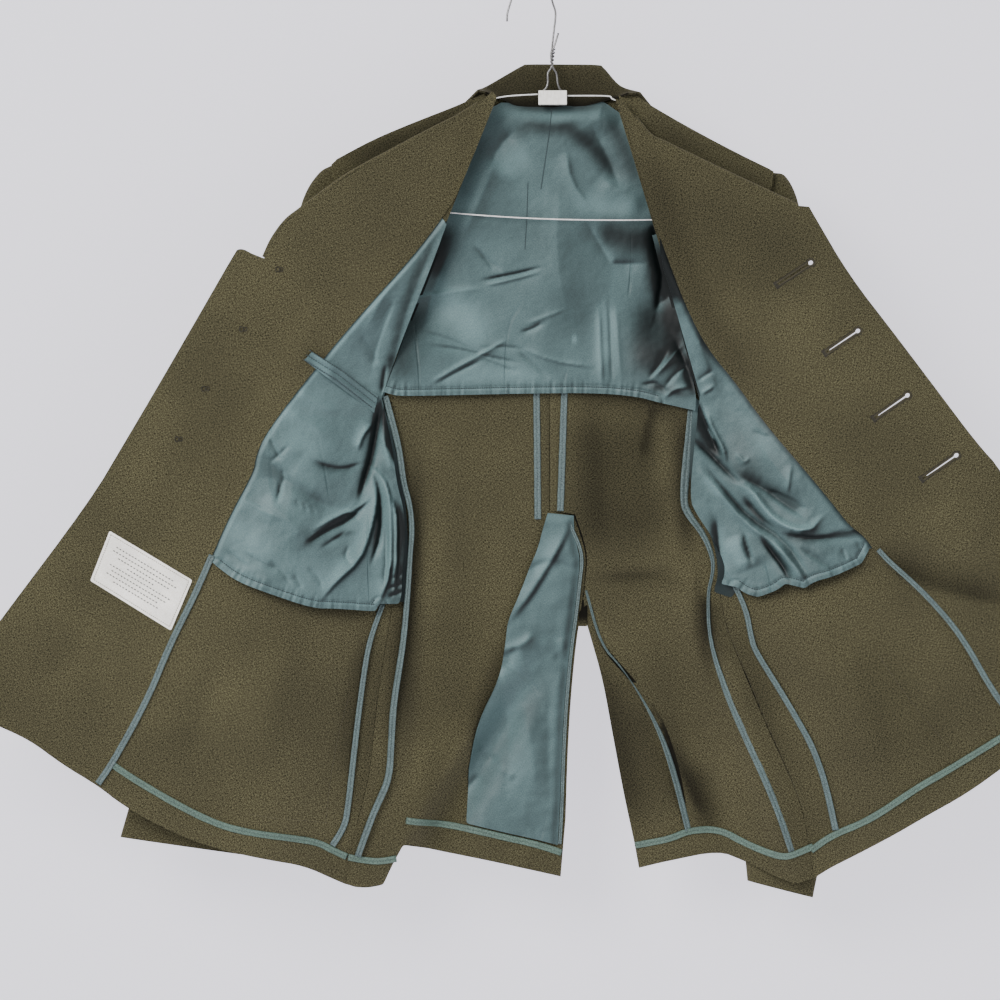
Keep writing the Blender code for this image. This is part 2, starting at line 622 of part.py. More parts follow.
def loft(name, rows, thick, material, closed=False):
    """A wall through rows of (x, y, z) places, all rows with as many places."""
    bm = bmesh.new()
    rings = [[bm.verts.new(place) for place in row] for row in rows]
    count = len(rows[0])
    for low, high in zip(rings, rings[1:]):
        for i in range(count if closed else count - 1):
            k = (i + 1) % count
            bm.faces.new((low[i], low[k], high[k], high[i]))
    bmesh.ops.recalc_face_normals(bm, faces=bm.faces)
    mesh = bpy.data.meshes.new(name)
    bm.to_mesh(mesh)
    bm.free()
    sheet = bpy.data.objects.new(name, mesh)
    CUTTERS.objects.link(sheet)
    solid = sheet.modifiers.new("thickness", "SOLIDIFY")
    solid.thickness = thick
    solid.offset = 0.0
    solid.use_even_offset = True
    mesh = baked(sheet)
    mesh.transform(SCALE)
    return add_mesh(name, mesh, material)


def wire(name, path, radius, material):
    """A round bar along a smooth path of (x, y, z) places."""
    curve = bpy.data.curves.new(name, "CURVE")
    curve.dimensions = "3D"
    curve.bevel_depth = radius
    curve.bevel_resolution = 1
    curve.use_fill_caps = True
    spline = curve.splines.new("POLY")
    spline.points.add(len(path) - 1)
    for point, (x, y, z) in zip(spline.points, path):
        point.co = (x, y, z, 1.0)
    shape = bpy.data.objects.new(name, curve)
    CUTTERS.objects.link(shape)
    mesh = baked(shape)
    bm = bmesh.new()
    bm.from_mesh(mesh)
    bmesh.ops.remove_doubles(bm, verts=bm.verts, dist=0.0001)
    bmesh.ops.recalc_face_normals(bm, faces=bm.faces)
    bm.to_mesh(mesh)
    bm.free()
    mesh.transform(SCALE)
    return add_mesh(name, mesh, material)


def shifted(line, distance):
    """The line moved sideways, to the left of its own direction."""
    return strip(line, 2.0 * distance)[:len(line)]


# ------------------------------------------------------------------- the pieces
def make_fronts():
    roll = shifted(RIGHT_ROLL, ROLL_INSET)
    side = moved(RIGHT_SIDE[::-1], -GAP / 2.0)
    outline = roll + RIGHT_EDGE + RIGHT_HEM[:-1] + side
    patch("front_right", outline, "right front", -SHELL, SHELL, "wool")
    outline = roll + RIGHT_EDGE + RIGHT_HEM[:3] + RIGHT_FACING_EDGE[::-1]
    patch("facing_right", outline, "right front", ON_SHELL, FACING, "wool")

    roll = shifted(LEFT_ROLL, -ROLL_INSET)
    side = moved(LEFT_SIDE[::-1], GAP / 2.0)
    holes = [buttonhole(eye, end) for eye, end in BUTTONHOLES]
    outline = roll + LEFT_EDGE + LEFT_HEM[:-1] + side
    patch("front_left", outline, "left front", -SHELL, SHELL, "wool", holes)
    outline = roll + LEFT_EDGE + LEFT_FACING_EDGE[::-1]
    patch("facing_left", outline, "left front", ON_SHELL, FACING, "wool", holes)


def buttonhole(eye, end):
    """A slot with a round eye at the end that is nearer the edge."""
    along = math.atan2(end[1] - eye[1], end[0] - eye[0])
    length = math.dist(eye, end)
    half = HOLE_WIDTH / 2.0
    opening = math.asin(half / EYE_RADIUS)
    points = []
    for step in range(9):
        angle = opening + (2.0 * math.pi - 2.0 * opening) * step / 8.0
        points.append((EYE_RADIUS * math.cos(angle), EYE_RADIUS * math.sin(angle)))
    points += [(length, -half), (length, half)]
    cos, sin = math.cos(along), math.sin(along)
    return [(eye[0] + u * cos - v * sin, eye[1] + u * sin + v * cos) for u, v in points]


def make_shoulders():
    line = RIGHT_SHOULDER_LINE[::-1]
    outline = line + [(-40.3, -125.8), (-78.7, -223.7), (-125.5, -340.8), (-162.8, -344.6), (-168.8, -310.1),
                      (-180.2, -242.9), (-188.5, -192.0)]
    patch("shoulder_right", outline, "shoulder", -SHELL, SHELL, "wool", cell=12.0)
    line = LEFT_SHOULDER_LINE
    outline = line + [(225.6, -204.5), (211.2, -252.5), (193.8, -310.1), (183.4, -344.6), (146.9, -340.8),
                      (112.8, -225.6), (83.5, -127.7)]
    patch("shoulder_left", outline, "shoulder", -SHELL, SHELL, "wool", cell=12.0)


def make_back():
    top = [(16.1, -121.0), (-12.5, -120.5), (-31.7, -118.1)]
    outline = (top + RIGHT_SHOULDER_LINE + RIGHT_ARMHOLE[1:]
               + moved(RIGHT_SIDE[1:], GAP / 2.0)
               + BACK_HEM_RIGHT + VENT_RIGHT_FLAP[::-1] + [(16.1, -512.6)])
    patch("back_right", outline, "back", -SHELL, SHELL, "wool")
    top = [(16.6, -121.0), (45.1, -120.5), (70.1, -117.6)]
    outline = (top + LEFT_SHOULDER_LINE + LEFT_ARMHOLE[1:]
               + moved(LEFT_SIDE[1:], -GAP / 2.0)
               + BACK_HEM_LEFT + VENT_LEFT_FLAP[::-1] + [(16.6, -512.6)])
    patch("back_left", outline, "back", -SHELL, SHELL, "wool")


def make_linings():
    facing = moved(RIGHT_FACING_EDGE[2:13], GAP)
    hinge = [(-146.9, -403.2), (-131.0, -358.1), (-116.2, -320.6), (-98.9, -277.4)]
    outline = facing + RIGHT_LINING_HEM + hinge
    patch("front_lining_right", outline, "right front", ON_SHELL, LINING, "lining")
    facing = moved(LEFT_FACING_EDGE[3:13], -GAP)
    hinge = [(162.2, -400.3), (149.8, -358.1), (138.7, -320.6), (125.8, -277.4)]
    outline = facing + LEFT_LINING_HEM + hinge
    patch("front_lining_left", outline, "left front", ON_SHELL, LINING, "lining")
    patch("back_lining", BACK_LINING, "back", ON_SHELL, LINING, "lining")
    patch("vent_cover", VENT_COVER, "back", ON_SHELL, LINING, "lining")
    patch("pocket_strap", POCKET_STRAP, "right front", ON_FACING, TAPE, "lining")
    patch("label", LABEL, "right front", ON_FACING, TAPE, "label")


def make_tapes():
    right_facing = [p for p in RIGHT_FACING_EDGE if p[1] < FACING_TAPE_TOP]
    left_facing = [p for p in LEFT_FACING_EDGE if p[1] < FACING_TAPE_TOP]
    tapes = [
        # name, centre line, surface, layer, width
        ("side_tape_front_right", RIGHT_FRONT_TAPE, "right front", ON_SHELL, TAPE_WIDTH),
        ("side_tape_back_right", RIGHT_BACK_TAPE, "back", ON_SHELL, TAPE_WIDTH),
        ("side_tape_front_left", LEFT_FRONT_TAPE, "left front", ON_SHELL, TAPE_WIDTH),
        ("side_tape_back_left", LEFT_BACK_TAPE, "back", ON_SHELL, TAPE_WIDTH),
        ("centre_tape_right", CENTRE_TAPE_RIGHT, "back", ON_SHELL, TAPE_WIDTH),
        ("centre_tape_left", CENTRE_TAPE_LEFT, "back", ON_SHELL, TAPE_WIDTH),
        ("facing_tape_right", shifted(right_facing, -3.6), "right front", ON_FACING, TAPE_WIDTH),
        ("facing_tape_left", shifted(left_facing, 3.6), "left front", ON_FACING, TAPE_WIDTH),
        ("vent_piping", VENT_PIPING, "back", ON_SHELL, 3.6),
        ("vent_edge_tape", VENT_EDGE_TAPE, "back", ON_SHELL, TAPE_WIDTH),
        ("hem_tape_front_right", HEM_TAPE_FRONT_RIGHT, "right front", ON_SHELL, TAPE_WIDTH),
        ("hem_tape_side_right", HEM_TAPE_SIDE_RIGHT, "back", ON_SHELL, TAPE_WIDTH),
        ("hem_tape_back_right", HEM_TAPE_BACK_RIGHT, "back", ON_SHELL, TAPE_WIDTH),
        ("hem_tape_front_left", HEM_TAPE_FRONT_LEFT, "left front", ON_SHELL, TAPE_WIDTH),
        ("hem_tape_back_left", HEM_TAPE_BACK_LEFT, "back", ON_SHELL, TAPE_WIDTH),
    ]
    for name, line, surface, layer, width in tapes:
        patch(name, strip(line, width), surface, layer, TAPE, "tape")


def make_lapel(name, roll, surface, inward):
    """The leaf beyond the roll line, folded behind its front."""
    rows = []
    places = [p for p, width in roll]
    ahead = shifted(places, inward)
    for (x, z), (ax, az), (place, width) in zip(places, ahead, roll):
        nx, nz = ax - x, az - z
        length = math.hypot(nx, nz)
        nx, nz = nx / length, nz / length
        row = []
        section = [(2.2, -1.0), (0.95, 0.2), (0.95, 2.4), (2.6, 4.6),
                   (3.0 + width * 0.5, 5.2), (3.0 + width, 5.4)]
        for across, behind in section:
            px, pz = x + nx * across, z + nz * across
            depth = lattice_depth(surface, px, pz)
            row.append((px, depth + behind, pz))
        rows.append(row)
    loft(name, rows, 1.8, "wool")


def make_collar():
    rows = []
    for base, top, leaf in COLLAR:
        bx, bz, by = base
        tx, tz, ty = top
        lx, lz, ly = leaf
        row = [(bx, by, bz)]
        row.append((mix(bx, tx, 0.6), mix(by, ty, 0.5), mix(bz, tz, 0.6)))
        row.append((mix(bx, tx, 0.96), ty - 0.5, mix(bz, tz, 0.96)))
        row.append((tx, ty + 2.5, tz))
        row.append((mix(tx, lx, 0.08), ty + 6.0, mix(tz, lz, 0.08)))
        row.append((mix(tx, lx, 0.5), mix(ty + 6.0, ly, 0.5), mix(tz, lz, 0.5)))
        row.append((lx, ly, lz))
        rows.append(row)
    loft("collar", rows, 2.0, "wool")


def sleeve_place(row, angle):
    """A place on one ring of a sleeve. The angle is 0 at the inner edge, 90 at the back."""
    outer, inner, half_depth, middle = row
    across = math.cos(math.radians(angle))
    lift = math.sin(math.radians(angle))
    lift = math.copysign(abs(lift) ** SLEEVE_SQUARE, lift)
    x = mix(outer[0], inner[0], (across + 1.0) / 2.0)
    z = mix(outer[1], inner[1], (across + 1.0) / 2.0)
    return Vector((x, middle + half_depth * lift, z))


def sleeve_wall(name, table, first, last, steps):
    """The part of a sleeve between two lengthwise seams."""
    rows = []
    for row in table:
        angles = [mix(first, last, step / steps) for step in range(steps + 1)]
        places = [sleeve_place(row, angle) for angle in angles]
        places[0] += (places[1] - places[0]).normalized() * SLEEVE_GAP
        places[-1] += (places[-2] - places[-1]).normalized() * SLEEVE_GAP
        rows.append(places)
    loft(name, rows, SHELL, "wool")


def make_sleeve(side, table):
    """A flattened tube of two pieces, open at the armhole and at the cuff."""
    low, high = SLEEVE_SEAMS
    sleeve_wall("undersleeve_" + side, table, low, high, 8)
    sleeve_wall("topsleeve_" + side, table, high, low + 360.0, 14)


def make_pockets():
    behind = -SHELL - GAP
    for side, surface, pocket, flap in POCKETS:
        patch("pocket_" + side, pocket, surface, behind - SHELL, SHELL, "wool")
        patch("flap_" + side, flap, surface, behind - 2.0 * SHELL - GAP, SHELL, "wool")


def make_button(name, place, surface, behind, radius, height):
    """A domed button, lying on the outside of a front."""
    x, z = place
    depth = lattice_depth(surface, x, z) + behind
    profile = [(0.0, 0.0), (radius * 0.35, 0.0), (radius * 0.35, height * 0.3),
               (radius, height * 0.3), (radius, height * 0.5),
               (radius * 0.7, height * 0.85), (0.0, height)]
    mesh = bpy.data.meshes.new(name)
    edges = [(i, i + 1) for i in range(len(profile) - 1)]
    mesh.from_pydata([(r, 0.0, h) for r, h in profile], edges, [])
    shape = bpy.data.objects.new(name, mesh)
    CUTTERS.objects.link(shape)
    screw = shape.modifiers.new("turn", "SCREW")
    screw.steps = 12
    screw.render_steps = 12
    screw.use_merge_vertices = True
    screw.merge_threshold = 0.0001
    mesh = baked(shape)
    bm = bmesh.new()
    bm.from_mesh(mesh)
    bmesh.ops.remove_doubles(bm, verts=bm.verts, dist=0.0001)
    bmesh.ops.recalc_face_normals(bm, faces=bm.faces)
    for vertex in bm.verts:
        u, v, h = vertex.co
        vertex.co = ((x + u) * MM, (depth + h) * MM, (z - v) * MM)
    bm.to_mesh(mesh)
    bm.free()
    add_mesh(name, mesh, "brass")


def make_buttons():
    behind = SHELL + 0.6
    for number, place in enumerate(BUTTONS, 1):
        make_button(f"button_{number}", place, "right front", behind,
                    BUTTON_RADIUS, BUTTON_HEIGHT)
    behind = 3.0 * SHELL + 2.0 * GAP + 1.1
    for side, place in FLAP_BUTTONS:
        make_button(f"flap_button_{side}", place, side + " front", behind,
                    SMALL_BUTTON_RADIUS, 3.6)


def make_hanger():
    wire("hanger_hook", HOOK, WIRE_RADIUS, "wire")
    wire("hanger_stub", STUB, WIRE_RADIUS, "wire")
    wire("hanger_frame", FRAME, WIRE_RADIUS, "wire")
    (x0, z0), (x1, z1) = CLIP
    bm = bmesh.new()
    bmesh.ops.create_cube(bm, size=1.0)
    for vertex in bm.verts:
        u, v, w = vertex.co
        vertex.co = (mix(x0, x1, u + 0.5), v * CLIP_DEPTH - 1.0, mix(z0, z1, w + 0.5))
    bmesh.ops.bevel(bm, geom=bm.edges[:], offset=1.2, segments=2, affect="EDGES")
    mesh = bpy.data.meshes.new("hanger_clip")
    bm.to_mesh(mesh)
    bm.free()
    mesh.transform(SCALE)
    add_mesh("hanger_clip", mesh, "clip")


def main():
    make_hanger()
    make_back()
    make_shoulders()
    make_fronts()
    make_linings()
    make_tapes()
    make_lapel("lapel_right", RIGHT_LAPEL, "right front", 1.0)
    make_lapel("lapel_left", LEFT_LAPEL, "left front", -1.0)
    make_collar()
    make_sleeve("right", RIGHT_SLEEVE)
    make_sleeve("left", LEFT_SLEEVE)
    make_pockets()
    make_buttons()


SCALE = Matrix.Scale(MM, 4)
TUNIC = new_collection("tunic")
CUTTERS = new_collection("cutters")
main()
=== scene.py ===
# %% [markdown]
# # A dress tunic, hung open on a wire hanger
# The solids of the tunic are already made: plain cloth walls at their real places. This
# lesson dresses them. Each wall is replaced by a finer sheet of the same cloth, cut to
# the same outline and bent over the same form, and then it gets its creases, tapes,
# stitches and finish. All lengths in the tables are in millimetres; X is across the
# tunic, Z is up and Y goes away from the viewer, towards the wall. The origin is the
# inside of the top of the hanger's hook.

# %% Load the solids
import math
import bmesh
import bpy
import numpy as np
from mathutils import Matrix, Vector, noise


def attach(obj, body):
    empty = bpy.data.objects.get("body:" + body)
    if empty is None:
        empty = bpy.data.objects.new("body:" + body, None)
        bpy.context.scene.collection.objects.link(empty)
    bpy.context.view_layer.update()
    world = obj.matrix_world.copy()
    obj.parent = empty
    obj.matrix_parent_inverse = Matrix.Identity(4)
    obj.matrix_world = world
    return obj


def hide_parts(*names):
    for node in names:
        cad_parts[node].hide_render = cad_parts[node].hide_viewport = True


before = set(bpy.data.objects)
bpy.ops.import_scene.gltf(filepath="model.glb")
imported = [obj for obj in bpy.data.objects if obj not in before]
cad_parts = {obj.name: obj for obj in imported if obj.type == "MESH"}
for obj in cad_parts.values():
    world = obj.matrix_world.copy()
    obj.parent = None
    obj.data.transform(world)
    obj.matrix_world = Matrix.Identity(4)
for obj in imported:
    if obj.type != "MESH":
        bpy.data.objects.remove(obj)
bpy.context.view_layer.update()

MM = 0.001

# %% [markdown]
# ## Small tools for materials
# A material is a little tree of nodes. Writing one socket at a time is long, so one
# helper makes a node and fills its sockets, with either a number or the output of
# another node. What several cloths share, such as threads and their unevenness, is a
# node group: built once, and placed in each material with its own numbers.

# %% Helpers for node trees
def feed(tree, socket, value):
    """Gives an input either a fixed value or a link from another socket."""
    if isinstance(value, bpy.types.NodeSocket):
        tree.links.new(value, socket)
    else:
        socket.default_value = value


def add_node(tree, kind, settings=None, **sockets):
    """A node; sockets are named with _ for a space and take a value or another socket."""
    made = tree.nodes.new(kind)
    for key, value in (settings or {}).items():
        setattr(made, key, value)
    for key, value in sockets.items():
        wanted = key.replace("_", " ")
        feed(tree, next(s for s in made.inputs if s.name == wanted and s.enabled), value)
    return made


def maths(tree, operation, first, second=0.5):
    made = tree.nodes.new("ShaderNodeMath")
    made.operation = operation
    feed(tree, made.inputs[0], first)
    feed(tree, made.inputs[1], second)
    return made.outputs[0]


def blended(tree, share, first, second, how="MIX"):
    """Two colours mixed by a mask."""
    made = tree.nodes.new("ShaderNodeMix")
    made.data_type = "RGBA"
    made.blend_type = how
    for number, value in ((0, share), (6, first), (7, second)):
        feed(tree, made.inputs[number], value)
    return made.outputs[2]


def stepped(tree, value, low, high, to_low=0.0, to_high=1.0):
    """A mask stretched from one range to another."""
    made = add_node(tree, "ShaderNodeMapRange", {"interpolation_type": "SMOOTHSTEP"})
    tree.links.new(value, made.inputs["Value"])
    for name, number in (("From Min", low), ("From Max", high), ("To Min", to_low), ("To Max", to_high)):
        made.inputs[name].default_value = number
    return made.outputs["Result"]


def group(name, inputs, outputs):
    """An empty node group with its sockets. A number may be given as a socket's start."""
    tree = bpy.data.node_groups.new(name, "ShaderNodeTree")
    for label, start in inputs:
        kind = "NodeSocketVector" if start is None else "NodeSocketFloat"
        socket = tree.interface.new_socket(label, in_out="INPUT", socket_type=kind)
        if start is not None:
            socket.default_value = start
    for label, kind in outputs:
        tree.interface.new_socket(label, in_out="OUTPUT", socket_type=kind)
    return tree, tree.nodes.new("NodeGroupInput").outputs, tree.nodes.new("NodeGroupOutput").inputs


# %% [markdown]
# ## Threads, as a shared group
# Woven cloth is two sets of threads. A twill shows fine slanting ribs; a plain weave
# shows crossing ones. Real threads are never even, so the ribs are bent a little by
# noise. The group gives a height for the bump and two masks: one of single threads
# that are lighter or darker, and one of broad unevenness from handling and pressing.
# It reads the cloth's own UV map, which every sheet has in metres along the grain, so
# the ribs turn with the panel they were cut in.

# %% Node group: woven threads
weave, given, gives = group(
    "woven_threads",
    [("Cloth", None), ("Ribs", 500.0), ("Slant", 1.0), ("Speck", 700.0), ("Mottle", 14.0)],
    [("Height", "NodeSocketFloat"), ("Threads", "NodeSocketFloat"), ("Broad", "NodeSocketFloat")],
)
apart = add_node(weave, "ShaderNodeSeparateXYZ", Vector=given["Cloth"])
bent = add_node(weave, "ShaderNodeTexNoise", Vector=given["Cloth"], Scale=90.0, Detail=2.0)
slanted = maths(weave, "MULTIPLY_ADD", apart.outputs["Y"], given["Slant"])
weave.links.new(apart.outputs["X"], slanted.node.inputs[2])
wander = maths(weave, "MULTIPLY", bent.outputs["Fac"], 0.0012)
rib_at = maths(weave, "MULTIPLY", maths(weave, "ADD", slanted, wander), given["Ribs"])
rib = maths(weave, "SINE", maths(weave, "MULTIPLY", rib_at, 2.0 * math.pi))
along = add_node(weave, "ShaderNodeMapping", Vector=given["Cloth"], Scale=(1.0, 0.32, 1.0))
cross = add_node(weave, "ShaderNodeMapping", Vector=given["Cloth"], Scale=(0.32, 1.0, 1.0))
warp = add_node(weave, "ShaderNodeTexNoise", Vector=along.outputs[0], Scale=given["Speck"], Detail=1.0)
weft = add_node(weave, "ShaderNodeTexNoise", Vector=cross.outputs[0], Scale=given["Speck"], Detail=1.0)
speck = add_node(weave, "ShaderNodeTexNoise", Vector=given["Cloth"], Scale=given["Speck"], Detail=2.0)
threads = maths(weave, "MULTIPLY_ADD", maths(weave, "ADD", warp.outputs["Fac"], weft.outputs["Fac"]), 0.3)
weave.links.new(maths(weave, "MULTIPLY", speck.outputs["Fac"], 0.4), threads.node.inputs[2])
weave.links.new(threads, gives["Threads"])
broad = add_node(weave, "ShaderNodeTexNoise", Vector=given["Cloth"], Scale=given["Mottle"], Detail=4.0)
weave.links.new(broad.outputs["Fac"], gives["Broad"])
height = maths(weave, "ADD", maths(weave, "MULTIPLY", rib, 0.35), maths(weave, "MULTIPLY", threads, 1.3))
weave.links.new(height, gives["Height"])
print("group:", weave.name, "with", len(weave.nodes), "nodes")

# %% [markdown]
# ## Pressed creases, as a second group
# Satin that was folded away keeps fine sharp creases too small to model. The places
# where a noise crosses its middle value are thin wandering lines, so the distance from
# that value makes valleys with sharp bottoms. A second, broader noise decides where
# they fade out, since no cloth is creased all over.

# %% Node group: pressed creases
pressed, given, gives = group("pressed_creases", [("Cloth", None), ("Size", 22.0)],
                              [("Height", "NodeSocketFloat")])
lean = add_node(pressed, "ShaderNodeMapping", Vector=given["Cloth"], Rotation=(0.0, 0.0, 0.9),
                Scale=(1.0, 0.3, 1.0))
wander = add_node(pressed, "ShaderNodeTexNoise", Vector=lean.outputs[0], Scale=given["Size"], Detail=0.5)
from_middle = maths(pressed, "ABSOLUTE", maths(pressed, "SUBTRACT", wander.outputs["Fac"], 0.5))
valley = stepped(pressed, from_middle, 0.0, 0.016)
where = add_node(pressed, "ShaderNodeTexNoise", Vector=given["Cloth"],
                 Scale=maths(pressed, "MULTIPLY", given["Size"], 0.6))
kept = stepped(pressed, where.outputs["Fac"], 0.48, 0.62)
pressed.links.new(maths(pressed, "MULTIPLY_ADD", maths(pressed, "SUBTRACT", valley, 1.0), kept),
                  gives["Height"])
print("group:", pressed.name)

# %% [markdown]
# ## Scuffs and dust, as a third group
# The hanger, its clip and the buttons are hard things, and what marks them is much the
# same: faint scratches, dull spots and a little dust. This group reads Object
# coordinates, because none of these pieces has a useful UV map.

# %% Node group: handling marks
marks, given, gives = group(
    "handling_marks", [("Size", 300.0)], [("Marks", "NodeSocketFloat"), ("Height", "NodeSocketFloat")]
)
place = marks.nodes.new("ShaderNodeTexCoord").outputs["Object"]
spots = add_node(marks, "ShaderNodeTexNoise", Vector=place, Scale=given["Size"], Detail=5.0, Roughness=0.65)
pulled = add_node(marks, "ShaderNodeMapping", Vector=place, Scale=(1.0, 1.0, 0.12))
lines = add_node(marks, "ShaderNodeTexNoise", Vector=pulled.outputs[0],
                 Scale=maths(marks, "MULTIPLY", given["Size"], 3.0))
both = maths(marks, "ADD", maths(marks, "MULTIPLY", spots.outputs["Fac"], 0.6),
             maths(marks, "MULTIPLY", lines.outputs["Fac"], 0.4))
marks.links.new(stepped(marks, both, 0.4, 0.65), gives["Marks"])
marks.links.new(both, gives["Height"])
print("group:", marks.name)

# %% [markdown]
# ## Cloths
# Wool serge, satin lining, seam tape and the cotton label differ in their threads, in
# how far their colour wanders, and in how they shine. Wool is rough with a soft sheen
# of nap; satin is smooth across its threads, so every crease carries a highlight. The
# base colour of wool and satin also carries painted shade and painted highlight, read
# from a turned attribute on each sheet. One function makes them all. Numbers that are
# the same all over, such as the sheen, are set on the shader itself.

# %% Cloth materials
def paint(name, **sockets):
    """A material with a Principled shader; even values are set on its sockets."""
    material = bpy.data.materials.new(name)
    material.use_nodes = True
    tree = material.node_tree
    shader = tree.nodes["Principled BSDF"]
    for key, value in sockets.items():
        shader.inputs[key.replace("_", " ")].default_value = value
    return material, tree, shader


WOOL_FINISH = ((0.0425, 0.0393, 0.0200), (0.142, 0.130, 0.069), (0.0048, 0.0044, 0.0022),
               0.93, 0.65, 800.0, 1.0, 1800.0, 9.0)
# name, base colour, light threads, dark threads, roughness, bump, ribs, slant, speck, mottle
CLOTHS = [
    ("wool", *WOOL_FINISH),
    ("outside", *WOOL_FINISH),
    ("lining", (0.064, 0.104, 0.103), (0.084, 0.130, 0.129), (0.052, 0.088, 0.090), 0.46, 0.10, 1500.0, 0.0,
     1800.0, 16.0),
    ("tape", (0.060, 0.094, 0.091), (0.108, 0.154, 0.148), (0.026, 0.045, 0.046), 0.60, 0.50, 900.0, 0.0,
     1500.0, 60.0),
    ("hem_tape", (0.062, 0.107, 0.080), (0.104, 0.163, 0.127), (0.028, 0.054, 0.041), 0.62, 0.50, 900.0,
     0.0, 1500.0, 60.0),
    ("label", (0.960, 0.930, 0.840), (0.985, 0.965, 0.900), (0.840, 0.800, 0.700), 0.78, 0.40, 1100.0, 0.0,
     1300.0, 25.0),
]
MATERIAL = {}
for name, base, light, dark, rough, bump, ribs, slant, speck, mottle in CLOTHS:
    material, tree, shader = paint(name, Roughness=rough)
    own = add_node(tree, "ShaderNodeUVMap", {"uv_map": "grain"})
    cloth = add_node(tree, "ShaderNodeGroup", {"node_tree": weave})
    tree.links.new(own.outputs["UV"], cloth.inputs["Cloth"])
    for key, value in (("Ribs", ribs), ("Slant", slant), ("Speck", speck), ("Mottle", mottle)):
        cloth.inputs[key].default_value = value
    thread = stepped(tree, cloth.outputs["Threads"], 0.43, 0.57)
    colour = blended(tree, thread, (*dark, 1.0), (*light, 1.0))
    colour = blended(tree, 0.95, (*base, 1.0), colour)
    worn = stepped(tree, cloth.outputs["Broad"], 0.3, 0.7, 0.86, 1.12)
    colour = blended(tree, 1.0, colour, worn, "MULTIPLY")
    # Painted shade and painted highlight: the turned attribute darkens the base colour in hollows and where
    # the cloth faces away from the window lamp, and lightens it on ridges.
    if name in ("wool", "lining"):
        turned = add_node(tree, "ShaderNodeAttribute", {"attribute_name": "turned"})
        reach, darkest, palest = (0.65, 0.05, 1.75) if name == "lining" else (1.0, 0.02, 1.50)
        painted_light_and_shade = stepped(tree, turned.outputs["Fac"], -reach, reach, darkest, palest)
        colour = blended(tree, 1.0, colour, painted_light_and_shade, "MULTIPLY")
    tree.links.new(colour, shader.inputs["Base Color"])
    rougher = stepped(tree, cloth.outputs["Broad"], 0.3, 0.7, rough - 0.05, rough + 0.05)
    tree.links.new(rougher, shader.inputs["Roughness"])
    relief = add_node(tree, "ShaderNodeBump", Strength=bump, Distance=0.0003, Height=cloth.outputs["Height"])
    tree.links.new(relief.outputs["Normal"], shader.inputs["Normal"])
    if name == "lining":
        creases = add_node(tree, "ShaderNodeGroup", {"node_tree": pressed})
        creases.inputs["Size"].default_value = 15.0
        tree.links.new(own.outputs["UV"], creases.inputs["Cloth"])
        folded = add_node(tree, "ShaderNodeBump", Strength=0.8, Distance=0.0012,
                          Height=creases.outputs["Height"])
        tree.links.new(folded.outputs["Normal"], relief.inputs["Normal"])
    MATERIAL[name] = material
    print("cloth:", name)

# name, specular, sheen, roughness and colour of the sheen
SHEENS = [
    ("wool", 0.08, 0.12, 0.6, (0.62, 0.56, 0.42, 1.0)),
    ("outside", 0.08, 0.12, 0.6, (0.62, 0.56, 0.42, 1.0)),
    ("lining", 0.2, 0.04, 0.3, (0.62, 0.80, 0.80, 1.0)),
]
for name, *values in SHEENS:
    shader = MATERIAL[name].node_tree.nodes["Principled BSDF"]
    for key, value in zip(("Specular IOR Level", "Sheen Weight", "Sheen Roughness", "Sheen Tint"), values):
        shader.inputs[key].default_value = value

# %% [markdown]
# ## Threads, wire, clip and brass
# Sewing thread is so thin that a colour with a fine bump is all that shows. The
# hanger's wire is galvanised steel, grey with dull spots; its clip is a small white
# moulding; the buttons are worn brass, duller where dust settles. The marks group
# drives the roughness and a slight change of colour in each.

# %% Hard materials and sewing threads
#         name             colour                   marked colour            rough        metal  marks size
HARD = [
    ("wire",         (0.210, 0.208, 0.204), (0.110, 0.108, 0.104), (0.28, 0.50), 1.0, 700.0),
    ("coated_wire",  (0.760, 0.755, 0.730), (0.520, 0.510, 0.480), (0.30, 0.45), 0.0, 500.0),
    ("clip",         (0.860, 0.850, 0.780), (0.720, 0.700, 0.630), (0.35, 0.55), 0.0, 240.0),
    ("brass",        (0.640, 0.450, 0.170), (0.330, 0.220, 0.090), (0.22, 0.48), 1.0, 420.0),
    ("olive_thread", (0.040, 0.034, 0.018), (0.070, 0.060, 0.034), (0.70, 0.80), 0.0, 1500.0),
    ("dark_thread",  (0.013, 0.011, 0.006), (0.030, 0.026, 0.014), (0.70, 0.80), 0.0, 1500.0),
    ("teal_thread",  (0.014, 0.026, 0.029), (0.028, 0.046, 0.049), (0.55, 0.70), 0.0, 1500.0),
    ("cream_thread", (0.200, 0.175, 0.125), (0.130, 0.115, 0.080), (0.60, 0.75), 0.0, 1500.0),
    ("grey_thread",  (0.050, 0.052, 0.050), (0.110, 0.110, 0.104), (0.60, 0.75), 0.0, 1500.0),
]
for name, base, marked, rough, metal, size in HARD:
    material, tree, shader = paint(name, Metallic=metal)
    used = add_node(tree, "ShaderNodeGroup", {"node_tree": marks})
    used.inputs["Size"].default_value = size
    colour = blended(tree, used.outputs["Marks"], (*base, 1.0), (*marked, 1.0))
    tree.links.new(colour, shader.inputs["Base Color"])
    tree.links.new(stepped(tree, used.outputs["Marks"], 0.0, 1.0, *rough), shader.inputs["Roughness"])
    relief = add_node(tree, "ShaderNodeBump", Strength=0.15, Distance=0.0002, Height=used.outputs["Height"])
    tree.links.new(relief.outputs["Normal"], shader.inputs["Normal"])
    MATERIAL[name] = material
print("materials:", len(MATERIAL))

# %% [markdown]
# ## Lines drawn on the cloth
# A tunic is cut along lines: the side seams, the roll lines where the lapels turn over,
# the front edges and the hems. Each is a short row of places, with X and Z. The cut
# line of real cloth is a smooth curve, so each row is softened by cutting its corners
# again and again; a true corner, such as the notch under a lapel, is only eased.

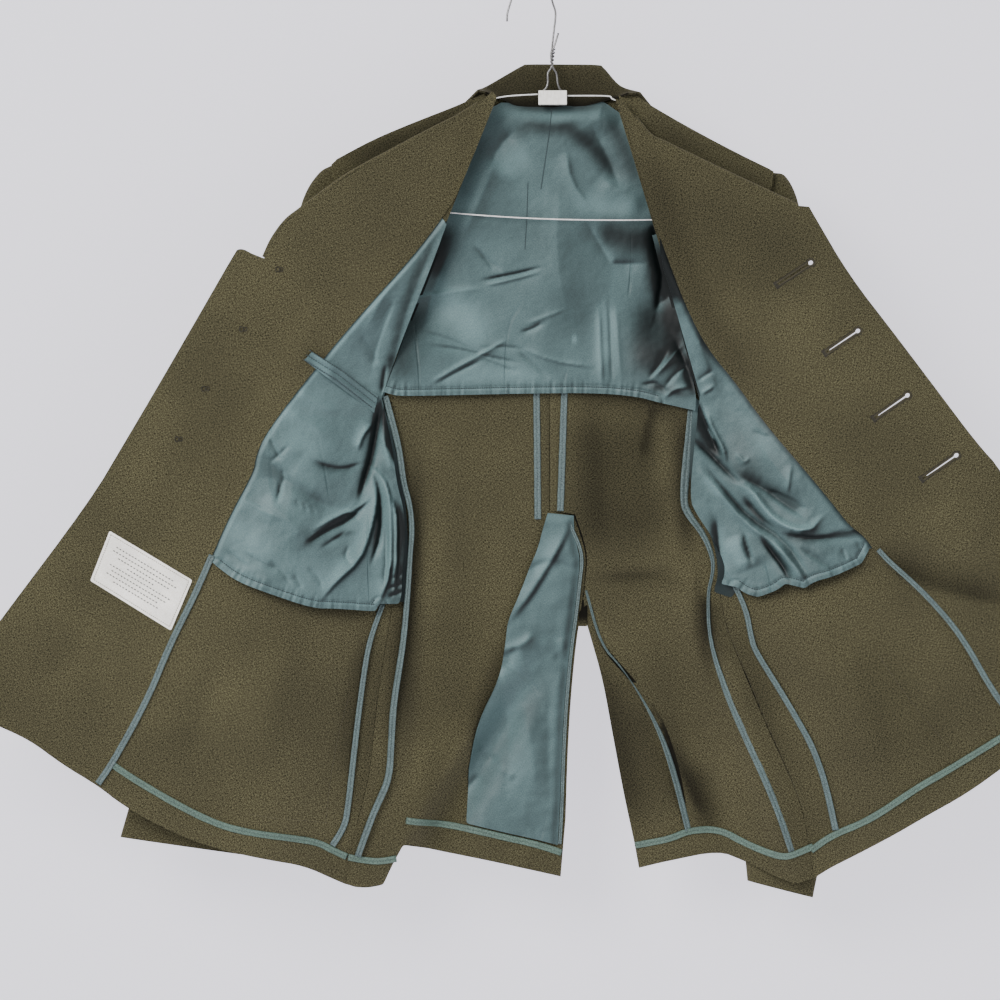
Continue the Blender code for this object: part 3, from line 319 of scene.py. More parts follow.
# %% Side seams, and how to soften a line
NECK_Z = -115.2
UNDERARM_Z = -401.3
CENTRE_X = 16.3
RIGHT_SIDE = [
    (-34.6, -115.2), (-148.8, -401.3), (-139.2, -454.1), (-132.5, -506.9), (-131.5, -550.1),
    (-135.4, -606.7), (-145.9, -666.2), (-152.6, -718.1), (-156.5, -761.3), (-164.2, -794.9),
    (-175.7, -838.1), (-180.5, -871.7),
]
LEFT_SIDE = [
    (78.7, -117.1), (164.2, -401.3), (166.1, -444.5), (169.0, -492.5), (175.7, -545.3),
    (180.5, -598.1), (188.2, -631.7), (204.5, -671.0), (223.7, -717.1), (239.0, -749.8),
    (260.2, -798.7), (270.7, -865.9),
]

def softened(line, passes=2):
    """The line with its corners cut off; a corner over 35 degrees is only eased."""
    line = [Vector(place) for place in line]
    for _ in range(passes):
        soft = [line[0]]
        for before, here, after in zip(line, line[1:], line[2:]):
            back, ahead = before - here, after - here
            sharp = back.angle(-ahead) > 0.6
            for arm in (back, ahead):
                reach = 0.25 * arm.length
                soft.append(here + arm.normalized() * (min(reach, 1.5) if sharp else reach))
        soft.append(line[-1])
        line = soft
    return [tuple(place) for place in line]


RIGHT_SIDE, LEFT_SIDE = softened(RIGHT_SIDE), softened(LEFT_SIDE)
print("side seams of", len(RIGHT_SIDE), "and", len(LEFT_SIDE), "places")

# %% [markdown]
# ## The form of the hanging cloth
# The solids are bent over a few smooth functions of X and Z, which give how deep the
# cloth lies at a place. The same functions are used here, so every layer lies on its
# solid: the back hangs nearly flat, and each front turns forward round its side seam
# like a page. They work on whole arrays of places at once, which is quick in numpy.

# %% Depth of the cloth at a place
BACK_DEPTH, SIDE_DEPTH, SWUNG_DEPTH = 13.0, -2.0, -37.0
FOLD_REACH, BACK_REACH, SHOULDER_ROUND = 105.0, 85.0, 30.0
FOLDS = [
    ((-37.4, -684.5), (-139.2, -853.4), 15.0, 13.0),
    ((-8.6, -684.5), (-97.0, -838.1), 17.0, -13.0),
    ((-118.1, -607.7), (-131.5, -770.9), 13.0, 5.0),
    ((-103.7, -636.5), (-116.2, -751.7), 14.0, -6.0),
    ((166.1, -598.1), (244.8, -838.1), 14.0, 9.0),
    ((137.3, -617.3), (175.7, -838.1), 20.0, -7.0),
    ((102.7, -636.5), (133.4, -838.1), 16.0, 5.0),
    ((102.7, -434.9), (54.7, -636.5), 30.0, 4.0),
    ((333.1, -569.3), (438.7, -559.7), 16.0, -4.0),
    ((64.3, -252.5), (150.7, -367.7), 22.0, -4.0),
]
RIGHT_SHOULDER_LINE = [
    (-47.0, -111.4), (-74.9, -123.8), (-98.9, -133.0), (-127.7, -144.5), (-156.5, -157.0),
    (-189.1, -174.7),
]
LEFT_SHOULDER_LINE = [
    (105.6, -117.1), (109.4, -120.5), (150.7, -144.5), (197.8, -169.4), (228.5, -184.3),
]

def smooth(t):
    t = np.clip(t, 0.0, 1.0)
    return t * t * (3.0 - 2.0 * t)


def mix(a, b, t):
    return a + (b - a) * t


def x_on(line, z):
    return np.interp(-z, [-p[1] for p in line], [p[0] for p in line])


def z_on(line, x):
    points = sorted(line)
    return np.interp(x, [p[0] for p in points], [p[1] for p in points])


def uneven(x, z, size, seed):
    """Soft noise from -1 to 1, with lumps of this size; the same on every run."""
    return np.array([noise.noise(Vector((a / size, b / size, seed))) for a, b in zip(x, z)])


def fold_depth(x, z):
    total = 0.9 * uneven(x, z, 70.0, 3.0) + 0.35 * uneven(x, z, 26.0, 8.0)
    for (x0, z0), (x1, z1), width, height in FOLDS:
        length = math.hypot(x1 - x0, z1 - z0)
        along = ((x - x0) * (x1 - x0) + (z - z0) * (z1 - z0)) / length
        across = ((x - x0) * (z1 - z0) - (z - z0) * (x1 - x0)) / length
        ends = smooth((along + 60.0) / 120.0) * smooth((length + 60.0 - along) / 120.0)
        total -= height * ends * np.exp(-(across / width) ** 2)
    return total


def seam_depth(z):
    depth = mix(-15.0, -22.0, smooth((NECK_Z - z) / 60.0))
    depth = mix(depth, SIDE_DEPTH, smooth((UNDERARM_Z + 110.0 - z) / 110.0))
    return mix(depth, -3.0, smooth((UNDERARM_Z - z) / 260.0))


def swung_depth(x, z, side, outward):
    reach = (x - x_on(side, z)) * outward
    depth = mix(seam_depth(z), SWUNG_DEPTH, smooth(reach / FOLD_REACH))
    return depth + fold_depth(x, z) * smooth((UNDERARM_Z + 60.0 - z) / 100.0)


def shoulder_turn(dist):
    turned = np.sin(0.5 * math.pi * np.clip(dist / SHOULDER_ROUND, 0.0, 1.0))
    return np.where(dist < 0.0, dist * 0.5 * math.pi / SHOULDER_ROUND, turned)


def half_back(x, z, side, line, outward):
    inward = (x_on(side, z) - x) * outward
    at_side = mix(seam_depth(z), BACK_DEPTH, smooth((z - UNDERARM_Z) / 90.0))
    depth = mix(at_side, BACK_DEPTH, smooth(inward / BACK_REACH)) + fold_depth(x, z)
    past_neck = np.maximum(0.0, (line[0][0] - x) * outward)
    depth = mix(1.6, depth, shoulder_turn(z_on(line, x) - z + 1.5 * past_neck))
    beyond = (inward < 0.0) & (z < UNDERARM_Z)
    return np.where(beyond, swung_depth(x, z, side, outward), depth)


def back(x, z):
    right = half_back(x, z, RIGHT_SIDE, RIGHT_SHOULDER_LINE, -1.0)
    left = half_back(x, z, LEFT_SIDE, LEFT_SHOULDER_LINE, 1.0)
    return np.where(x < CENTRE_X, right, left)


def right_front(x, z):
    inside = (z < UNDERARM_Z) & (x > x_on(RIGHT_SIDE, z))
    return np.where(inside, back(x, z), swung_depth(x, z, RIGHT_SIDE, -1.0))


def left_front(x, z):
    inside = (z < UNDERARM_Z) & (x < x_on(LEFT_SIDE, z))
    return np.where(inside, back(x, z), swung_depth(x, z, LEFT_SIDE, 1.0))


def shoulder(x, z):
    right = x < CENTRE_X
    reach = np.abs(x - np.where(right, x_on(RIGHT_SIDE, z), x_on(LEFT_SIDE, z)))
    line = np.where(right, z_on(RIGHT_SHOULDER_LINE, x), z_on(LEFT_SHOULDER_LINE, x))
    flat = mix(-9.0, 0.0, smooth((UNDERARM_Z + 150.0 - z) / 90.0))
    depth = mix(seam_depth(z) + 2.05, flat, smooth(reach / 18.0))
    return mix(-3.6, depth, shoulder_turn(line - z))


def depth_at(surface, x, z):
    return float(surface(np.array([float(x)]), np.array([float(z)]))[0])


print("depth of the back at the middle:", round(depth_at(back, CENTRE_X, -300.0), 1), "mm")

# %% [markdown]
# ## Creases
# A crease is a soft ridge or trough along a path. Cloth seldom folds evenly, so each
# crease has its own width on either side: a narrow side is steep, and catches a hard
# edge of light, and a wide side falls away gently. The function takes a table of them,
# and each fades out towards its two ends.

# %% Heights from a table of creases, and distance from a line
def nearest(x, z, path):
    """Distance from a path, the side of it, and how far along it, for arrays of places."""
    best = np.full(x.shape, 1e9)
    side, run, start = np.zeros(x.shape), np.zeros(x.shape), 0.0
    for (x0, z0), (x1, z1) in zip(path, path[1:]):
        dx, dz = x1 - x0, z1 - z0
        length = math.hypot(dx, dz)
        t = np.clip(((x - x0) * dx + (z - z0) * dz) / length ** 2, 0.0, 1.0)
        ax, az = x - (x0 + t * dx), z - (z0 + t * dz)
        gap = np.hypot(ax, az)
        closer = gap < best
        best = np.where(closer, gap, best)
        side = np.where(closer, np.sign(ax * dz - az * dx), side)
        run = np.where(closer, start + t * length, run)
        start += length
    return best, side, run, start


def creased(x, z, table, roundness=2.0):
    """Sum of the creases: ridges are above 0, towards the viewer. A roundness of 2 gives
    a soft bell, and 1 a sharp line, as in satin that was pressed."""
    total = np.zeros(x.shape)
    for path, left_width, right_width, height in table:
        gap, side, run, length = nearest(x, z, softened(path, 1))
        width = np.where(side < 0.0, left_width, right_width)
        ends = smooth(np.minimum(run, length - run) / (0.35 * length) + 0.2)
        total += height * ends * np.exp(-(gap / width) ** roundness)
    return total


def off_line(x, z, line):
    return nearest(x, z, line)[0]


# %% [markdown]
# ## A sheet of cloth
# A sheet starts as one flat face with the outline of the panel. It has to bend, so it
# is sliced into small squares: a knife plane passes through it every few millimetres,
# first across and then down. Slicing keeps the outline exact, which a grid cut with
# scissors would not. Each slice only works on what is left beyond the last one, so it
# stays quick. Then the points move back to the depth of the form, less the height of
# this layer, and a Solidify modifier gives the cloth its thickness behind that face.

# %% Slicing, bending and finishing
def sliced(bm, step):
    for axis in (2, 0):
        low = min(v.co[axis] for v in bm.verts)
        high = max(v.co[axis] for v in bm.verts)
        normal = Vector((0.0, 0.0, 0.0))
        normal[axis] = 1.0
        rest = bm.faces[:]
        place = (math.floor(low / step) + 1.3) * step
        while place < high - 0.2 * step:
            parts = set(rest)
            for face in rest:
                parts.update(face.edges)
                parts.update(face.verts)
            cut = bmesh.ops.bisect_plane(bm, geom=list(parts), dist=0.02, plane_co=normal * place,
                                         plane_no=normal)
            rest = [part for part in cut["geom"] if isinstance(part, bmesh.types.BMFace)
                    and part.calc_center_median()[axis] > place]
            place += step


def pierced(bm, hole):
    """Cuts a hole with straight sides and outward corners, then takes out what is inside."""
    middle = sum((Vector((x, 0.0, z)) for x, z in hole), Vector()) / len(hole)
    reach = max((Vector((x, 0.0, z)) - middle).length for x, z in hole) + 3.0
    for (x0, z0), (x1, z1) in zip(hole, hole[1:] + hole[:1]):
        faces = [f for f in bm.faces if (f.calc_center_median() - middle).length < reach]
        parts = set(faces)
        for face in faces:
            parts.update(face.edges)
            parts.update(face.verts)
        across = Vector((z1 - z0, 0.0, x0 - x1)).normalized()
        bmesh.ops.bisect_plane(bm, geom=list(parts), dist=0.01, plane_co=(x0, 0.0, z0), plane_no=across)
    inside = []
    for face in bm.faces:
        spot = face.calc_center_median()
        signs = [(x1 - x0) * (spot.z - z0) - (z1 - z0) * (spot.x - x0)
                 for (x0, z0), (x1, z1) in zip(hole, hole[1:] + hole[:1])]
        if (spot - middle).length < reach and (min(signs) > 0.0 or max(signs) < 0.0):
            inside.append(face)
    bmesh.ops.delete(bm, geom=inside, context="FACES")


def give_grain(bm, angle):
    """A UV map in metres, turned so that V runs along the warp."""
    layer = bm.loops.layers.uv.new("grain")
    cos, sin = math.cos(math.radians(angle)), math.sin(math.radians(angle))
    for face in bm.faces:
        for loop in face.loops:
            x, z = loop.vert.co.x, loop.vert.co.z
            loop[layer].uv = ((x * cos + z * sin) * MM, (z * cos - x * sin) * MM)


def paint_shade_and_highlight(bm, surface, x, z, strength, painted_shading):
    """Painted shade and highlight, kept in the turned attribute: how far each point leans
    towards the window lamp at the upper left, compared with the form below, plus the
    table of paths, darker where the cloth is in a hollow and lighter where it stands out."""
    layer = bm.verts.layers.float.new("turned")
    bm.normal_update()
    slope_x = (surface(x + 1.0, z) - surface(x - 1.0, z)) / 2.0
    slope_z = (surface(x, z + 1.0) - surface(x, z - 1.0)) / 2.0
    size = np.sqrt(1.0 + slope_x ** 2 + slope_z ** 2)
    painted_values = creased(x, z, painted_shading)
    for vertex, form_x, form_z, painted_value in zip(bm.verts, slope_x / size, slope_z / size, painted_values):
        leaning = 0.65 * (vertex.normal.z - form_z) - 0.8 * (vertex.normal.x - form_x)
        vertex[layer] = leaning * strength + painted_value


SHOWN = {}


def finished(name, bm, material, replaces=(), thick=0.0, flat=False):
    """Turns a bmesh in millimetres into a piece that rides on the tunic."""
    bmesh.ops.transform(bm, matrix=Matrix.Scale(MM, 4), verts=bm.verts)
    for edge in bm.edges:
        edge.smooth = not edge.is_boundary
    for face in bm.faces:
        face.smooth = not flat
    mesh = bpy.data.meshes.new(name)
    bm.to_mesh(mesh)
    bm.free()
    mesh.materials.append(MATERIAL[material])
    piece = bpy.data.objects.new(name, mesh)
    bpy.context.scene.collection.objects.link(piece)
    if thick:
        wall = piece.modifiers.new("thickness", "SOLIDIFY")
        wall.thickness = thick * MM
        wall.offset = -1.0
        if material == "wool":
            mesh.materials.append(MATERIAL["outside"])
            wall.material_offset = 1
    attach(piece, "root")
    if replaces:
        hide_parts(*replaces)
    SHOWN[name] = piece
    return piece


def cloth(name, outline, surface, lift, thick, kind, replaces=(), step=4.0, grain=0.0, holes=(), painted_shading=()):
    """A sheet with this outline. lift(x, z) is how far its face is in front of the form."""
    bm = bmesh.new()
    bm.faces.new([bm.verts.new((x, 0.0, z)) for x, z in outline])
    bm.normal_update()
    if bm.faces[:][0].normal.y > 0.0:
        bmesh.ops.reverse_faces(bm, faces=bm.faces[:])
    sliced(bm, step)
    for hole in holes:
        pierced(bm, hole)
    give_grain(bm, grain)
    x = np.array([v.co.x for v in bm.verts])
    z = np.array([v.co.z for v in bm.verts])
    for vertex, y in zip(bm.verts, surface(x, z) - lift(x, z)):
        vertex.co.y = y
    # Wool and satin sheets get painted shade and highlight, as a turned attribute that darkens or lightens
    # their base colour.
    if kind in ("lining", "wool"):
        paint_shade_and_highlight(bm, surface, x, z, 1.0 if kind == "lining" else 0.6, painted_shading)
    count = len(bm.faces)
    piece = finished(name, bm, kind, replaces, thick)
    print(name, "of", count, "faces")
    return piece


# %% [markdown]
# ## Camera, wall and light
# The tunic is seen straight on, from far enough that its sides don't spread. A plain
# pale wall stands behind it and a plain floor is far below; neither is part of it. The
# light is a large soft window high on the left, with a weak one on the right so that
# the folds keep some depth. The wall is clear from behind, so that the back of the
# tunic can be looked at too.

# %% Camera
camera = bpy.data.objects.new("camera", bpy.data.cameras.new("camera"))
bpy.context.scene.collection.objects.link(camera)
camera.location = (-0.0317, -5.0, -0.5021)
camera.rotation_euler = (math.radians(90.0), 0.0, 0.0)
SENSOR, AWAY, FRAMED = 36.0, 4.985, 0.96    # sensor in mm, metres to the cloth, metres in view
camera.data.lens = SENSOR * AWAY / FRAMED
camera.data.clip_end = 50.0
bpy.context.scene.camera = camera
print("camera", round(-camera.location.y, 2), "m in front")

# %% Wall and floor
material, tree, shader = paint("wall_paint", Roughness=0.9)
place = tree.nodes.new("ShaderNodeTexCoord").outputs["Object"]
rough_paint = add_node(tree, "ShaderNodeTexNoise", Vector=place, Scale=60.0, Detail=5.0)
cloudy = add_node(tree, "ShaderNodeTexNoise", Vector=place, Scale=1.2, Detail=2.0)
colour = blended(tree, cloudy.outputs["Fac"], (0.290, 0.286, 0.296, 1.0), (0.320, 0.314, 0.325, 1.0))
tree.links.new(colour, shader.inputs["Base Color"])
shader.inputs["Emission Color"].default_value = (1.0, 0.98, 1.10, 1.0)
shader.inputs["Emission Strength"].default_value = 1.12
relief = add_node(tree, "ShaderNodeBump", Strength=0.12, Distance=0.002, Height=rough_paint.outputs["Fac"])
tree.links.new(relief.outputs["Normal"], shader.inputs["Normal"])
MATERIAL["wall_paint"] = material
clear = tree.nodes.new("ShaderNodeBsdfTransparent")
behind = tree.nodes.new("ShaderNodeNewGeometry").outputs["Backfacing"]
either = tree.nodes.new("ShaderNodeMixShader")
for socket, value in zip(either.inputs, (behind, shader.outputs[0], clear.outputs[0])):
    tree.links.new(value, socket)
tree.links.new(either.outputs[0], tree.nodes["Material Output"].inputs["Surface"])

for name, turn, spot in (("wall", -90.0, (0.0, 0.105, -0.5)), ("floor", 0.0, (0.0, 0.0, -2.2))):
    bm = bmesh.new()
    bmesh.ops.create_grid(bm, x_segments=1, y_segments=1, size=4.0)
    bmesh.ops.rotate(bm, verts=bm.verts, matrix=Matrix.Rotation(math.radians(-turn), 3, "X"))
    bmesh.ops.translate(bm, verts=bm.verts, vec=spot)
    bm.normal_update()
    mesh = bpy.data.meshes.new(name)
    bm.to_mesh(mesh)
    bm.free()
    mesh.materials.append(MATERIAL["wall_paint"])
    stage = bpy.data.objects.new(name, mesh)
    bpy.context.scene.collection.objects.link(stage)
    stage.visible_shadow = False
    print(name, "faces", [round(v, 1) for v in mesh.polygons[0].normal])

# %% Lights
#        name        place                 aimed at             width  watts  colour
LIGHTS = [
    ("window", (-2.1, -3.3, 1.2), (0.0, 0.0, -0.5), 2.0, 190.0, (1.0, 0.985, 0.975)),
    ("fill",   (2.8, -3.2, -0.6), (0.0, 0.0, -0.5), 2.6, 48.0, (0.97, 0.98, 1.0)),
    ("behind", (0.3, 3.2, 1.0),   (0.0, 0.0, -0.5), 2.6, 55.0, (1.0, 1.0, 1.0)),
]
for name, spot, aim, width, watts, tint in LIGHTS:
    lamp = bpy.data.lights.new(name, "AREA")
    lamp.size, lamp.energy, lamp.color = width, watts, tint
    light = bpy.data.objects.new(name, lamp)
    light.location = spot
    light.rotation_euler = (Vector(aim) - Vector(spot)).to_track_quat("-Z", "Y").to_euler()
    bpy.context.scene.collection.objects.link(light)
world = bpy.data.worlds.new("room")
world.use_nodes = True
world.node_tree.nodes["Background"].inputs["Color"].default_value = (0.86, 0.87, 0.90, 1.0)
world.node_tree.nodes["Background"].inputs["Strength"].default_value = 0.78
bpy.context.scene.world = world
print("lights:", len(LIGHTS))

# %% [markdown]
# ## The back
# The back is two panels joined by a seam down the middle as far as the vent. Inside a
# half-lined tunic, the wool shows under the lining. Each half is cut with the warp
# running straight down. Close to the middle seam the cloth rolls a little away, so the
# seam reads as a soft groove.

# %% Two halves of the back
RIGHT_ARMHOLE = [
    (-189.1, -174.7), (-188.5, -192.0), (-180.2, -242.9), (-168.8, -310.1), (-162.4, -346.6),
    (-137.8, -373.4), (-144.0, -396.5),
]
LEFT_ARMHOLE = [
    (228.5, -184.3), (225.6, -204.5), (211.2, -252.5), (193.8, -310.1), (182.9, -346.6),
    (154.6, -373.4), (159.8, -396.5),
]
BACK_HEM_RIGHT = [
    (-170.9, -874.6), (-159.4, -875.5), (-144.0, -872.6), (-136.3, -855.4), (-124.8, -834.2),
    (-79.7, -842.9), (-31.7, -852.5), (26.9, -865.6),
]
BACK_HEM_LEFT = [
    (252.0, -871.7), (234.2, -865.0), (218.9, -857.3), (202.1, -849.6), (179.5, -841.0),
    (131.5, -850.1), (102.4, -857.3),
]
VENT_RIGHT_FLAP = [
    (39.4, -517.4), (48.0, -541.4), (51.5, -558.7), (49.5, -577.9), (46.1, -611.5),
    (41.3, -643.2), (36.5, -695.0), (33.6, -746.9), (31.7, -809.3),
]
VENT_LEFT_FLAP = [
    (40.8, -515.9), (49.3, -540.5), (52.8, -558.7), (50.9, -577.9), (48.5, -609.6),
    (56.6, -636.5), (67.2, -673.9), (77.8, -732.5), (88.3, -788.6), (97.9, -832.3),
]
GAP = 0.4


def moved(line, dx):
    return [(x + dx, z) for x, z in line]


# path of each crease, its left and right widths, its height
BACK_WOOL_CREASES = [
    ([(57, -583), (103, -579), (151, -572)], 7, 4, -1.6),
    ([(162, -560), (159, -617), (165, -646), (181, -694)], 14, 3, -3.2),
    ([(54, -598), (64, -636), (91, -667)], 2, 16, -2.6),
    ([(108, -698), (124, -740), (151, -811)], 2, 16, -4),
    ([(130, -713), (160, -763), (195, -815)], 10, 16, -2.4),
    ([(-112, -473), (-108, -540), (-117, -617), (-126, -713)], 17, 4, -3.4),
    ([(-78, -425), (-84, -502), (-78, -588)], 16, 22, 1.6),
    ([(-24, -636), (-39, -684), (-62, -740)], 9, 9, -2.6),
    ([(60, -408), (62, -464), (68, -540)], 10, 16, -1.6),
    ([(103, -410), (97, -473), (108, -540)], 16, 12, 1.6),
    ([(135, -435), (126, -502), (137, -556)], 10, 14, -2),
    ([(-99, -732), (-105, -771), (-108, -815)], 12, 14, 2),
    ([(-12, -838), (-9, -850), (-7, -863)], 12, 14, 1.2),
]


# shade beside the side tapes, on the back and on the fronts
TAPE_SHADE = [
    ([(-146, -408), (-140, -435), (-133, -473), (-128, -521)], 5, 5, -0.90),
    ([(157, -402), (159, -444), (156, -483), (162, -517)], 4, 4, -0.90),
]
# painted shade where the back lies in a hollow and painted highlight where it stands out: path, left and
# right widths, tone
BACK_PAINTED_SHADING = [
    ([(-116, -444), (-114, -540), (-124, -636), (-135, -752)], 12, 14, -0.34),
    ([(60, -404), (62, -464), (66, -560)], 14, 26, -0.30),
    ([(93, -416), (87, -483), (99, -560)], 20, 20, -0.20),
    ([(122, -410), (126, -454), (118, -502)], 9, 9, 0.16),
    ([(147, -416), (143, -473), (149, -560)], 9, 9, -0.40),
    ([(64, -636), (84, -732), (103, -838)], 40, 24, -0.22),
    ([(153, -752), (166, -790), (176, -828)], 14, 14, -0.32),
    ([(-20, -636), (-39, -694), (-64, -752)], 14, 8, -0.30),
    ([(172, -588), (168, -627), (176, -665)], 14, 10, -0.34),
    ([(-128, -398), (-60, -400), (7, -398)], 8, 8, -0.22),
    ([(93, -402), (103, -483), (93, -560)], 60, 60, -0.16),
    ([(64, -578), (103, -576), (151, -580)], 6, 9, -0.22),
    ([(163, -590), (167, -617), (169, -641)], 6, 5, -0.40),
    ([(117, -406), (108, -435), (104, -464)], 8, 2, -0.30),
    ([(133, -737), (151, -780), (166, -811)], 8, 3, -0.35),
    ([(62, -646), (76, -723), (103, -824)], 16, 30, -0.20),
    ([(-89, -588), (-78, -656), (-60, -732)], 45, 45, -0.14),
    ([(26, -400), (84, -402), (151, -416)], 8, 12, -0.30),
] + TAPE_SHADE


def back_lift(x, z):
    """Rolled away at the middle seam, as far as the top of the vent."""
    seam = np.exp(-((x - CENTRE_X) / 1.2) ** 2) * smooth((z + 520.0) / 12.0)
    return creased(x, z, BACK_WOOL_CREASES) - 0.7 * seam


rows = softened(RIGHT_SHOULDER_LINE)
outline = ([(16.05, -121.0), (-12.5, -120.5), (-31.7, -118.1)] + rows + softened(RIGHT_ARMHOLE)[1:]
           + [p for p in moved(RIGHT_SIDE, GAP / 2.0) if p[1] < UNDERARM_Z - 4.0]
           + softened(BACK_HEM_RIGHT) + softened(VENT_RIGHT_FLAP)[::-1] + [(16.05, -512.6)])
cloth("back_right_wool", outline, back, back_lift, 1.6, "wool", ["back_right"], painted_shading=BACK_PAINTED_SHADING)
rows = softened(LEFT_SHOULDER_LINE)
outline = ([(16.6, -121.0), (45.1, -120.5), (70.1, -117.6)] + rows + softened(LEFT_ARMHOLE)[1:]
           + [p for p in moved(LEFT_SIDE, -GAP / 2.0) if p[1] < UNDERARM_Z - 4.0]
           + softened(BACK_HEM_LEFT) + softened(VENT_LEFT_FLAP)[::-1] + [(16.6, -512.6)])
cloth("back_left_wool", outline, back, back_lift, 1.6, "wool", ["back_left"], painted_shading=BACK_PAINTED_SHADING)

# %% [markdown]
# ## The fronts and their facings
# Each front is swung open, so what shows is its inside: a wide facing of the same wool
# from the front edge to the lining, and below the lining the plain inside of the
# panel. The fronts turn outwards as they open, so their warp no longer runs straight
# down but slants, which the grain angle of the sheet gives. The left front carries four
# keyhole buttonholes, cut right through both layers.

# %% Fronts and facings
RIGHT_ROLL = [
    (-41.3, -107.5), (-53.8, -119.0), (-74.9, -132.5), (-98.9, -145.0), (-139.2, -167.0),
    (-180.5, -190.1), (-223.7, -221.8), (-239.0, -234.2), (-251.5, -251.5), (-260.2, -269.8),
]
RIGHT_EDGE = [
    (-269.2, -266.4), (-276.9, -262.1), (-283.2, -262.6), (-328.0, -340.4), (-361.6, -398.4),
    (-392.3, -450.2), (-422.9, -502.1), (-511.7, -620.0), (-562.6, -690.2),
]
RIGHT_HEM = [
    (-511.7, -717.9), (-481.1, -731.5), (-450.4, -754.6), (-416.7, -774.7), (-393.7, -793.0),
    (-357.1, -814.1), (-312.0, -833.3), (-253.4, -846.7), (-219.8, -853.4), (-190.1, -867.8),
    (-180.5, -871.7),
]
LEFT_ROLL = [
    (89.3, -117.1), (99.8, -132.5), (114.2, -150.2), (127.7, -157.4), (160.3, -173.8),
    (197.8, -192.0), (253.4, -217.9),
]
LEFT_EDGE = [
    (263.7, -221.8), (270.3, -233.3), (301.4, -286.6), (345.6, -343.7), (384.0, -394.6),
    (424.3, -448.3), (448.3, -474.2), (570.2, -668.2),
]
LEFT_HEM = [
    (505.9, -715.2), (448.3, -758.4), (413.5, -783.4), (374.3, -805.0), (335.0, -828.5),
    (301.4, -847.7), (287.0, -855.4), (270.7, -865.9),
]
RIGHT_FACING_EDGE = [
    (-34.6, -115.2), (-70.1, -204.5), (-82.6, -225.6), (-108.5, -260.2), (-124.8, -279.4),
    (-148.8, -306.2), (-176.6, -337.9), (-200.6, -366.7), (-255.4, -436.8), (-265.9, -462.7),
    (-266.4, -473.3), (-290.3, -517.4), (-306.2, -553.9), (-321.9, -590.9), (-346.6, -639.8),
    (-367.7, -692.2), (-401.3, -753.1), (-416.6, -774.7),
]
LEFT_FACING_EDGE = [
    (78.7, -117.1), (90.8, -144.6), (102.7, -187.2), (115.2, -233.3), (127.7, -266.9),
    (145.9, -315.8), (167.0, -356.2), (194.9, -389.8), (220.8, -427.2), (259.2, -473.3),
    (287.0, -506.4), (302.4, -527.0), (315.8, -535.7), (331.2, -557.8), (354.2, -577.9),
    (378.2, -601.0), (406.1, -633.6), (433.0, -681.6), (448.3, -703.7), (481.0, -733.4),
]
BUTTONHOLES = [
    ((267.6, -273.7), (232.7, -296.6)),
    ((312.6, -338.9), (278.6, -361.8)),
    ((360.0, -400.4), (325.4, -424.3)),
    ((406.8, -457.7), (371.3, -482.1)),
]
SHELL, FACING = 1.6, 1.2
ROLL_INSET = 3.2


def shifted(line, distance):
    """The line moved sideways, to the left of its own direction."""
    beside = []
    for i, (x, z) in enumerate(line):
        x0, z0 = line[max(i - 1, 0)]
        x1, z1 = line[min(i + 1, len(line) - 1)]
        length = math.hypot(x1 - x0, z1 - z0)
        beside.append((x - (z1 - z0) / length * distance, z + (x1 - x0) / length * distance))
    return beside


def along_hole(eye, end, places):
    """Places given along and across a buttonhole, from its eye."""
    angle = math.atan2(end[1] - eye[1], end[0] - eye[0])
    cos, sin = math.cos(angle), math.sin(angle)
    return [(eye[0] + u * cos - v * sin, eye[1] + u * sin + v * cos) for u, v in places]


def buttonhole(eye, end, wide):
    """A slit that widens to a round eye near the front edge, as two cuts."""
    length = math.dist(eye, end)
    slit = [(0.0, -wide), (length * 0.5, -0.85 * wide), (length * 0.86, -0.5 * wide),
            (length * 0.86, 0.5 * wide), (length * 0.5, 0.85 * wide), (0.0, wide)]
    ring = [(2.5 * math.cos(math.radians(a)), 2.0 * math.sin(math.radians(a))) for a in range(0, 360, 36)]
    return [along_hole(eye, end, slit), along_hole(eye, end, ring)]


def seam(name, line, surface, width, kind="wool", rise=-0.8):
    """The turned-in cloth that shows in the gap where two panels are sewn together, painted near black all
    over as the shade in that gap.
    """
    outline = shifted(line, width / 2.0) + shifted(line, -width / 2.0)[::-1]
    return cloth(name, outline, surface, lambda x, z: np.full(x.shape, rise), 0.7, kind, step=8.0,
                 painted_shading=[(line, 30.0, 30.0, -1.0)])


BUTTONHOLES = [((mix(eye[0], end[0], 0.07), mix(eye[1], end[1], 0.07)), end) for eye, end in BUTTONHOLES]
RIGHT_EDGE, LEFT_EDGE = softened(RIGHT_EDGE), softened(LEFT_EDGE)
RIGHT_HEM, LEFT_HEM = softened(RIGHT_HEM), softened(LEFT_HEM)
RIGHT_FACING_EDGE, LEFT_FACING_EDGE = softened(RIGHT_FACING_EDGE), softened(LEFT_FACING_EDGE)
RIGHT_ROLL, LEFT_ROLL = softened(RIGHT_ROLL), softened(LEFT_ROLL)
holes = []
for (eye, end), wide in zip(BUTTONHOLES, (0.25, 0.6, 0.7, 0.65)):
    holes += buttonhole(eye, end, wide)


